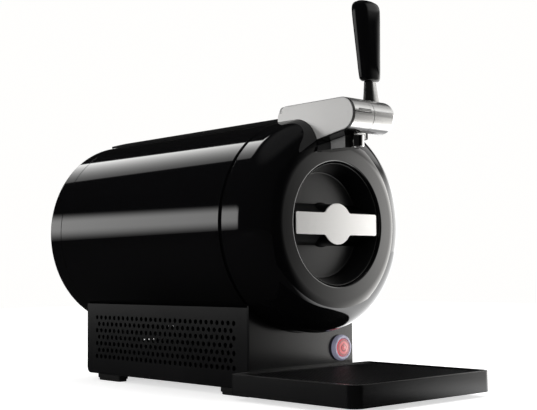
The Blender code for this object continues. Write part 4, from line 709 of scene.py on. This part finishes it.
def barOutline(length, height, boss, fillet, corner, steps=18):
    # a bar with a round boss in its middle; the fillets join them
    reach = sqrt((boss + fillet) ** 2 - (height + fillet) ** 2)
    turn = atan2(height + fillet, reach)
    quarter = arcPoints((reach, height + fillet), fillet, -pi / 2, -pi + turn, 6)
    right = softened([(reach, height), (length, height), (length, -height), (reach, -height)],
                     [0, corner, corner, 0], 4, closed=False)[1:]
    bossTop = arcPoints((0, 0), boss, pi - turn, turn, steps)
    half = [(-x, y) for x, y in quarter] + bossTop[1:-1] + quarter[::-1] + right
    return half + [(-x, -y) for x, y in half]


def makeHandle():
    low = handle.plateThick - handle.plateProud + gap
    high = door.floorAt - gap
    edgeShare, footShare = handle.edgeShare, handle.footShare
    rings = []
    for share in handle.shares:
        # rounded at its front edge, and flared where it meets the dish's floor
        ease = max(share - edgeShare, 0.0) / (1 - edgeShare)
        shrink = handle.edge * (1 - min(share / edgeShare, 1.0)) ** 2
        flare = handle.foot * max(0.0, (share - 1 + footShare) / footShare) ** 2
        sizes = zip(handle.front, handle.floor)
        length, height, boss = (a + (b - a) * ease - shrink for a, b in sizes)
        outline = barOutline(length, height + flare, boss + flare, handle.fillet, handle.corner)
        y = back(low + (high - low) * share)
        rings.append([(x, y, axisZ + z) for x, z in outline])
    fit(lofted("doorGrip", rings), dishBlack, "door_grip", "door_handle")
    outline = barOutline(*handle.plate, 40)
    plateFront = back(-handle.plateProud)
    plate = slab("doorPlate", [(x, axisZ + z) for x, z in outline], plateFront,
                 plateFront + handle.plateThick, "XZ", handle.plateEdge)
    fit(plate, brushed, "door_plate", "door_handle")


makeDish()
makeHandle()


# Tap: an arm between two cheeks, with a lid, a barrel that carries the lever, and a spout
print("stage: tap")

# keel is the arm's underside, line the seam under the lid, knuckle and pin its hinge, tab its latch, strip
# the arm's part beside it, and channel the beer tube's way
tap = Values(
    left=-0.0325, right=0.0328, cheek=0.003, cheekRound=0.0011, edge=0.0004, headAt=-0.0385, headZ=0.3142,
    headRadius=0.0188, rear=0.0635, rearRound=0.015, keelZ=0.286, keelAt=0.014, armFront=-0.0197,
    seamX=0.003, seamGap=0.0006, lineZ=0.315, stepAt=-0.015, lineRearAt=0.044, lineRearZ=0.3236,
    lineGap=0.0009, pinAt=0.057, pinZ=0.3268, pin=0.0016, knuckle=0.0061, stripX=-0.0024, stripRoom=0.0012,
    channel=0.005, channelDeep=0.008, channelSkin=0.0013, turnAt=0.004, tabX=(-0.022, -0.003),
    tabAt=(-0.057, -0.05), tabZ=(0.316, 0.319), tabRoom=0.002, tabUnder=0.001, tabEdge=0.0005, axle=0.0045,
    axleX=(-0.007, 0.028),
)
lever = Values(
    radius=0.0185, endX=0.04, dome=0.006, x=0.0195, lean=radians(3.3), stemZ=(0.324, 0.3554),
    stemBase=(0.0126, 0.0085), stemTop=(0.0079, 0.0058), gripTop=0.4495, stemRings=12, stemPower=0.8,
    gripPower=2.6, gripSteps=5, gripEnds=(0, 0.003, 0.007, 0.99, 0.996, 1.0),
    # share of the way up, and half the size across and along
    grip=((0, 0.0095, 0.005), (0.012, 0.0122, 0.0068), (0.045, 0.0142, 0.0079), (0.3, 0.016, 0.0088),
          (0.6, 0.018, 0.0096), (0.85, 0.0194, 0.0103), (0.93, 0.019, 0.01), (0.975, 0.0166, 0.0085),
          (1, 0.0114, 0.0056)),
)
spout = Values(
    half=0.012, frontAt=-0.0255, bottomZ=0.2793, nozzleAt=-0.0335, nozzle=0.0073, bore=0.0036, nozzleZ=0.28,
    edge=0.0004, rounds=(0.0002, 0.0005, 0.0004, 0.0002),
)
tapTop = tap.headZ + tap.headRadius
tapLow = tap.headZ - tap.headRadius
frontAt = tap.headAt - tap.headRadius
bodyLeft = tap.left + tap.cheek + gap
bodyRight = tap.right - tap.cheek - gap


def keelZ(at):
    # the arm's underside between its head and its lowest place
    return tapLow + (tap.keelZ - tapLow) * (at - tap.headAt) / (tap.keelAt - tap.headAt)


def armOutline():
    middle = (back(tap.headAt), tap.headZ)
    head = arcPoints(middle, tap.headRadius, -pi / 2, -3 * pi / 2, 44)
    corner = (back(tap.rear - tap.rearRound), tapTop - tap.rearRound)
    rear = arcPoints(corner, tap.rearRound, pi / 2, 0, 20)
    return head + rear + [(back(tap.rear), tap.keelZ), (back(tap.keelAt), tap.keelZ)]


def crossRod(name, radius, xs, at, z, steps=32):
    return rod(name, radius, xs[0], xs[1], "X", (0, back(at), z), steps)


def noseTool():
    rear = tap.rear + over
    line = [(0, rear), (bodyRadius + gap, rear), *noseLine(gap), (0, nose.tubeAt)]
    return turned("noseTool", line, bodySteps)


def headNotch():
    return box("headNotch", (tap.seamX - tap.seamGap, tap.right + over),
               (frontAt - over, tap.armFront), (tapLow - over, tapTop + over))


def pinWay():
    ends = (tap.left - over, tap.right + over)
    return crossRod("pinWay", tap.pin + gap, ends, tap.pinAt, tap.pinZ)


def axleWay():
    ends = (tap.axleX[0] - gap, tap.right)
    return crossRod("axleWay", tap.axle + gap, ends, tap.headAt, tap.headZ)


def makeCheeks():
    thick, edge = tap.cheek, tap.cheekRound
    left = slab("tapCheekLeft", armOutline(), tap.left, tap.left + thick, "YZ", edge)
    left = carved(left, noseTool(), pinWay())
    fit(left, silver, "tap_cheek_left")
    right = slab("tapCheekRight", armOutline(), tap.right - thick, tap.right, "YZ", edge)
    right = carved(right, noseTool(), pinWay(), headNotch())
    fit(right, silver, "tap_cheek_right")


def makeArm():
    # room for the lid, without the strip beside it
    front, rear, seamZ = back(frontAt) - over, back(tap.rear) + over, tap.lineZ
    above = [(front, seamZ), (back(tap.stepAt), seamZ), (back(tap.lineRearAt), tap.lineRearZ),
             (rear, tap.lineRearZ), (rear, tapTop + over), (front, tapTop + over)]
    room = slab("lidRoom", above, bodyLeft - over, bodyRight + over, "YZ")
    strip = box("lidStrip", (tap.stripX, tap.seamX),
                (frontAt - 2 * over, tap.armFront - tap.stripRoom), (tap.keelZ, tapTop + 2 * over))
    room = carved(room, strip)
    # the beer tube's way: down through the nose, along the nose's crest and down the nozzle
    floorZ, half = seamZ - tap.channelDeep, tap.channel
    holeAt, holeRadius = nose.tubeHole
    end = holeAt + half
    way = [(back(spout.nozzleAt) - half, floorZ), (back(tap.turnAt), floorZ)]
    for at in (holeAt / 4, holeAt / 2, nose.tubeAt, end):
        share = max(nose.tubeAt - at, 0) / (nose.tubeAt - nose.faceAt)
        crest = axisZ + noseCentre + nose.tubeRadius * sqrt(1 - share ** 2)
        way.append((back(at), crest + gap + tap.channelSkin))
    way += [(back(end), tapTop), (back(spout.nozzleAt) - half, tapTop)]
    channel = slab("tubeChannel", way, -half, half, "YZ")
    knuckleFront = tap.pinAt - tap.knuckle - tap.lineGap
    rearOff = box("armEnd", (tap.left - over, tap.right + over), (knuckleFront, tap.rear + over),
                  (axisZ, tapTop + over))
    drop = rod("dropWay", spout.bore, axisZ, floorZ + over / 2, "Z", (0, back(spout.nozzleAt), 0))
    down = rod("tubeDown", holeRadius, axisZ, tapTop, "Z", (0, back(holeAt), 0))
    arm = slab("tapArm", armOutline(), bodyLeft, bodyRight, "YZ", tap.edge)
    arm = carved(arm, headNotch(), room, channel, axleWay(), drop, down, rearOff, noseTool())
    fit(arm, bright, "tap_body")


def makeLid():
    front, rear = back(frontAt) - over, back(tap.rear) + over
    low, seam = tap.keelZ - over, tap.lineGap
    seamZ = tap.lineZ + seam
    below = [(front, low), (front, seamZ), (back(tap.stepAt), seamZ),
             (back(tap.lineRearAt), tap.lineRearZ + seam), (back(tap.pinAt), tap.pinZ),
             (rear, tap.pinZ), (rear, low)]
    under = slab("lidUnder", below, bodyLeft - over, bodyRight + over, "YZ")
    rearOff = box("lidRearOff", (tap.left, tap.right), (tap.pinAt, tap.rear + over),
                  (axisZ, tapTop + over))
    (x1, x2), (at1, at2), (z1, z2), room = tap.tabX, tap.tabAt, tap.tabZ, tap.seamGap
    tabRoom = box("tabRoom", (x1 - room, x2 + room), (at1 - over, at2 + tap.tabRoom),
                  (z1 - tap.tabUnder, z2 + room))
    strip = box("stripRoom", (tap.stripX - gap, tap.seamX), (frontAt - over, tap.armFront),
                (tap.keelZ, tapTop + over))
    lid = slab("tapLid", armOutline(), bodyLeft, bodyRight, "YZ", tap.edge)
    lid = carved(lid, under, rearOff, headNotch(), strip, tabRoom, axleWay())
    roll = crossRod("lidRoll", tap.knuckle, (bodyLeft, bodyRight), tap.pinAt, tap.pinZ, 48)
    lid = carved(shaped(lid, "UNION", roll), pinWay())
    fit(lid, bright, "tap_cover", "tap_lid")
    tab = box("lidLatch", (x1, x2), (at1, at2), (z1, z2), tap.tabEdge)
    fit(tab, bright, "cover_latch", "lid_latch")


def makeBarrel():
    radius, dome, end, start = lever.radius, lever.dome, lever.endX, tap.seamX + gap
    inner, deep = tap.axle + gap, tap.axleX[1] + gap
    line = [(0, end), (radius, end), (radius, start), (inner, start), (inner, deep), (0, deep)]
    line = softened(line, [0, dome, tap.edge, 0, 0, 0], 14, closed=False)
    barrel = turned("tapBarrel", line, 128, (0, back(tap.headAt), tap.headZ), "X")
    fit(barrel, bright, "tap_barrel", "tap_handle")


def section(halfX, halfY, z, power, count=56):
    # a soft rectangle across the lever: a power of 2 is an ellipse, more is squarer
    middle = back(tap.headAt) + (z - tap.headZ) * tan(lever.lean)
    ring = []
    for i in range(count):
        c, s = cos(2 * pi * i / count), sin(2 * pi * i / count)
        ring.append((lever.x + halfX * copysign(abs(c) ** (2 / power), c),
                     middle + halfY * copysign(abs(s) ** (2 / power), s), z))
    return ring


def between(share, stops):
    # sizes at a share of the way, with a soft run through the stops
    place = next(i for i in range(1, len(stops)) if share <= stops[i][0])
    low, high = stops[place - 1], stops[place]
    before, after = stops[max(place - 2, 0)], stops[min(place + 1, len(stops) - 1)]
    span = high[0] - low[0]
    t = (share - low[0]) / span
    made = []
    for k in (1, 2):
        rise = (high[k] - before[k]) / (high[0] - before[0]) * span
        fall = (after[k] - low[k]) / (after[0] - low[0]) * span
        made.append((2 * t ** 3 - 3 * t ** 2 + 1) * low[k] + (t ** 3 - 2 * t ** 2 + t) * rise
                    + (3 * t ** 2 - 2 * t ** 3) * high[k] + (t ** 3 - t ** 2) * fall)
    return made


def makeLever():
    low, high = lever.stemZ
    rings = []
    for i in range(lever.stemRings + 1):
        share = i / lever.stemRings
        ease = share ** lever.stemPower
        sizes = [a + (b - a) * ease for a, b in zip(lever.stemBase, lever.stemTop)]
        rings.append(section(*sizes, low + (high - low) * share, 2))
    barrelTool = crossRod("barrelTool", lever.radius + gap, (tap.seamX, lever.endX), tap.headAt,
                          tap.headZ, 128)
    stem = carved(lofted("leverStem", rings), barrelTool)
    fit(stem, softChrome, "tap_stem", "tap_handle")
    low, high = high + gap, lever.gripTop
    stops, steps = lever.grip, lever.gripSteps
    shares = [stop[0] + (after[0] - stop[0]) * k / steps
              for stop, after in zip(stops[1:], stops[2:]) for k in range(steps)]
    rings = [section(*between(share, stops), low + (high - low) * share, lever.gripPower, 72)
             for share in sorted([*shares, *lever.gripEnds])]
    fit(lofted("leverGrip", rings), gripBlack, "tap_grip", "tap_handle")


def makeSpout():
    front, keelAt = back(spout.frontAt), back(tap.keelAt)
    line = [(front, spout.bottomZ), (front, keelZ(spout.frontAt) - gap), (keelAt, tap.keelZ - gap),
            (keelAt, spout.bottomZ)]
    wedge = slab("tapSpout", line, -spout.half, spout.half, "YZ", spout.edge)
    fit(carved(wedge, noseTool()), silver, "tap_spout")
    top = keelZ(spout.nozzleAt + spout.nozzle) - gap
    radius, bore, low = spout.nozzle, spout.bore, spout.nozzleZ
    line = softened([(radius, top), (radius, low), (bore, low), (bore, top)], spout.rounds, 5)
    nozzle = turned("tapNozzle", line, 96, (0, back(spout.nozzleAt), 0), "Z")
    fit(nozzle, chrome, "tap_nozzle")


makeCheeks()
makeArm()
makeLid()
makeBarrel()
makeLever()
makeSpout()


# Spine and base: flat strip on top, front plate, perforated sides and feet
print("stage: base")

spine = Values(half=0.025, topZ=0.3213, at=(0.0662, 0.4145), edge=0.0009, slopeAt=0.38, endZ=0.3199)
base = Values(
    half=0.0853, front=0.0573, rear=0.3831, bottomZ=0.0086, topZ=0.1002, wall=0.0025, rearRound=0.008,
    edge=0.00045, button=(0.0625, 0.0483), buttonHole=0.0128,
)
vents = Values(start=0.083, pitch=0.0099, rowPitch=0.0085, topZ=0.0823, rows=7, count=29, hole=0.0029)
feet = Values(
    at=(0.06, 0.311), width=0.015, length=0.049, inset=0.001, corner=0.0022,
    sole=((0, 0.002), (0.0006, 0.0012), (0.003, 0.0012), (0.0036, 0)),      # height, and how far in
)
prong = Values(x=0.045, half=0.01, z=(0.0111, 0.0157))


def makeSpine():
    half, edge = spine.half, spine.edge
    radius = bodyRadius + gap
    turn = asin(half / radius)
    under = arcPoints((0, axisZ), radius, pi / 2 + turn, pi / 2 - turn, 16)
    top = spine.topZ
    outline = softened(under + [(half, top), (-half, top)], [0] * len(under) + [edge, edge], 6)
    strip = slab("topSpine", outline, back(spine.at[0]), back(spine.at[1]), "XZ")
    # its last stretch slopes down
    start, end = back(spine.slopeAt), back(spine.at[1]) + gap
    slope = slab("spineSlope", [(start, top), (end, spine.endZ), (end, top + over), (start, top + over)],
                 -half - gap, half + gap, "YZ")
    fit(carved(strip, slope), trim, "top_spine")


def makeFascia():
    half, low = base.half, base.bottomZ
    holes = [ringPoints(base.button, base.buttonHole, 56)]
    wide, (z1, z2) = prong.half + gap, prong.z
    for x in (-prong.x, prong.x):
        holes.append([(x - wide, z1), (x + wide, z1), (x + wide, z2), (x - wide, z2)])
    radius = bodyRadius + gap
    turn = acos(half / radius)
    saddle = arcPoints((0, axisZ), radius, -turn, turn - pi, 72)
    plate = slab("frontPlate", [(-half, low), (half, low), *saddle], back(base.front),
                 back(base.front + base.wall), "XZ", base.edge, holes)
    fit(plate, satin, "front_fascia")


def makeVents():
    behind = back(base.front + base.wall + gap)
    corner = (back(base.rear - base.rearRound), base.bottomZ + base.rearRound)
    side = [(behind, base.bottomZ), *arcPoints(corner, base.rearRound, -pi / 2, 0, 10),
            (back(base.rear), base.topZ), (behind, base.topZ)]
    holes = []
    for row in range(vents.rows):
        shift = row % 2
        for i in range(vents.count - shift):
            middle = back(vents.start + (i + shift / 2) * vents.pitch)
            holes.append(ringPoints((middle, vents.topZ - row * vents.rowPitch), vents.hole, 18))
    half, inner = base.half, base.half - base.wall
    for name, node, low, high in (("ventsLeft", "vent_panel_left", -half, -inner),
                                  ("ventsRight", "vent_panel_right", inner, half)):
        fit(slab(name, side, low, high, "YZ", holes=holes), satin, node)


def makeFeet():
    # a pad with a drawn-in sole
    width, length, outer = feet.width, feet.length, base.half - feet.inset
    for at, where in zip(feet.at, ("front", "rear")):
        for left, hand in ((-outer, "left"), (outer - width, "right")):
            rings = []
            for z, inset in (*feet.sole, (base.bottomZ - gap, 0)):
                low = (left + inset, back(at) + inset)
                high = (left + width - inset, back(at + length) - inset)
                rings.append([(x, y, z) for x, y in boxOutline(low, high, [feet.corner] * 4, 6)])
            pad = lofted("pad_%s_%s" % (where, hand), rings)
            fit(pad, rubber, "foot_%s_%s" % (where, hand))


makeSpine()
makeFascia()
makeVents()
makeFeet()


# Power button: a clear ring and a lit lens with a power symbol
print("stage: button")

button = Values(
    outer=0.0154, proud=0.006, body=0.0125, bore=0.0106, end=0.064, edge=0.001, slant=(0.0016, 0.002),
    mouth=0.0012, capProud=0.0072, capLength=0.0125, dome=0.0014, flatShare=0.6, riseShare=0.45,
    edgeShare=0.4, domePower=1.6, domeRings=10,
)


def makeButton():
    middle = (base.button[0], faceY, base.button[1])
    front, seat, edge = base.front - button.proud, base.front - gap, button.edge
    outer, bore, body = button.outer, button.bore, button.body
    (inward, deep), mouth = button.slant, button.mouth
    line = [(body, button.end), (body, seat), (outer, seat), (outer, front + deep),
            (outer - inward, front), (bore + mouth, front), (bore, front + mouth), (bore, button.end)]
    line = softened(line, [0, 0, edge / 2, edge, edge, edge / 2, edge / 2, 0], 6)
    fit(turned("buttonRing", line, 112, middle), clearRing, "button_bezel")
    capFront, radius = base.front - button.capProud, bore - gap
    rim, rings, capEnd = button.dome, button.domeRings, capFront + button.capLength
    flat, rise = radius - rim * button.flatShare, rim * button.riseShare
    dome = [(flat * (1 - i / rings), capFront + rise * (1 - (i / rings) ** button.domePower))
            for i in range(rings + 1)][::-1]
    side = softened([dome[-1], (radius, capFront + rise), (radius, capEnd)],
                    [0, rim * button.edgeShare, 0], 6, closed=False)
    line = dome + side[1:] + [(0, capEnd)]
    fit(turned("buttonLens", line, 112, middle), litRed, "button_cap", "power_button")


makeButton()


# Drip tray and its perforated grid
print("stage: tray")

tray = Values(
    half=0.1126, front=-0.1284, rear=0.0565, z=(0.0055, 0.0291), corner=0.012, backCorner=0.003, wall=0.004,
    ledge=0.005, floor=0.0022, seat=0.0034, backLedge=0.0085, edge=0.0007, prongRoot=0.002,
    prongLength=0.022, prongEdge=0.0004,
)
grid = Values(thick=0.0016, pitch=0.0052, hole=0.0017, margin=0.0075)


def trayOutline(by, behind):
    # the tray's outline drawn in all round, and by another amount behind
    front = max(tray.corner - by, gap)
    rear = max(tray.backCorner - by, gap)
    half = tray.half - by
    return boxOutline((-half, back(tray.front) + by), (half, back(tray.rear) - behind),
                      [front, front, rear, rear], 10)


def makeTray():
    low, high = tray.z
    seatZ = high - tray.seat
    pan = slab("dripTray", trayOutline(0, 0), low, high, "XY", tray.edge)
    rim = slab("trayRim", trayOutline(tray.wall, tray.backLedge), seatZ, high + over, "XY")
    ledge = tray.ledge
    within = trayOutline(tray.wall + ledge, tray.backLedge + ledge)
    basin = slab("trayBasin", within, low + tray.floor, high + over, "XY")
    pan = carved(pan, rim, basin)
    rear, half, (z1, z2) = tray.rear, prong.half, prong.z
    prongs = [box("prong", (x - half, x + half), (rear - tray.prongRoot, rear + tray.prongLength),
                  (z1 + gap, z2 - gap), tray.prongEdge) for x in (-prong.x, prong.x)]
    fit(shaped(pan, "UNION", *prongs), trayBlack, "drip_tray", "tray")


def makeGrid():
    outline = trayOutline(tray.wall + gap, tray.backLedge + gap)
    pitch, rowPitch, margin = grid.pitch, grid.pitch * sqrt(3) / 2, grid.margin
    left, right = -tray.half + tray.wall + margin, tray.half - tray.wall - margin
    front = back(tray.front) + tray.wall + margin
    rear = back(tray.rear) - tray.backLedge - margin
    rows = int((rear - front) / rowPitch)
    columns = int((right - left) / pitch)
    startX = (left + right - columns * pitch) / 2
    startY = (front + rear - rows * rowPitch) / 2
    holes = []
    for row in range(rows + 1):
        shift = row % 2
        holes += [ringPoints((startX + (i + shift / 2) * pitch, startY + row * rowPitch), grid.hole, 10)
                  for i in range(columns + 1 - shift)]
    low = tray.z[1] - tray.seat + gap
    plate = slab("dripGrid", outline, low, low + grid.thick, "XY", holes=holes)
    fit(plate, gridBlack, "drip_grid", "grid")


makeTray()
makeGrid()


# Finishes of the frame's own nodes that stay
print("stage: frame nodes")

nodeFinishes = {
    satin: ["rear_panel", "base_tray", "mouth_ring", "door_back", "air_port"],
    trim: ["fan_frame", "fan_rotor", "air_pump", "front_cradle", "rear_cradle", "button_switch",
           "power_supply", "inlet_socket", "control_board", "peltier_module", "heat_sink"],
    steel: ["door_shaft", "latch_bar", "hinge_arm", "hinge_bracket", "hinge_pin", "tap_axle", "cover_pin"],
    aluminium: ["cooling_sleeve", "cold_block"],
    rubber: ["door_seal", "air_hose"],
    foam: ["insulation_jacket"],
}
for finish, names in nodeFinishes.items():
    for nodeName in names:
        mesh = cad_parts[nodeName].data
        mesh.materials.clear()
        mesh.materials.append(finish)

print("stage: done")
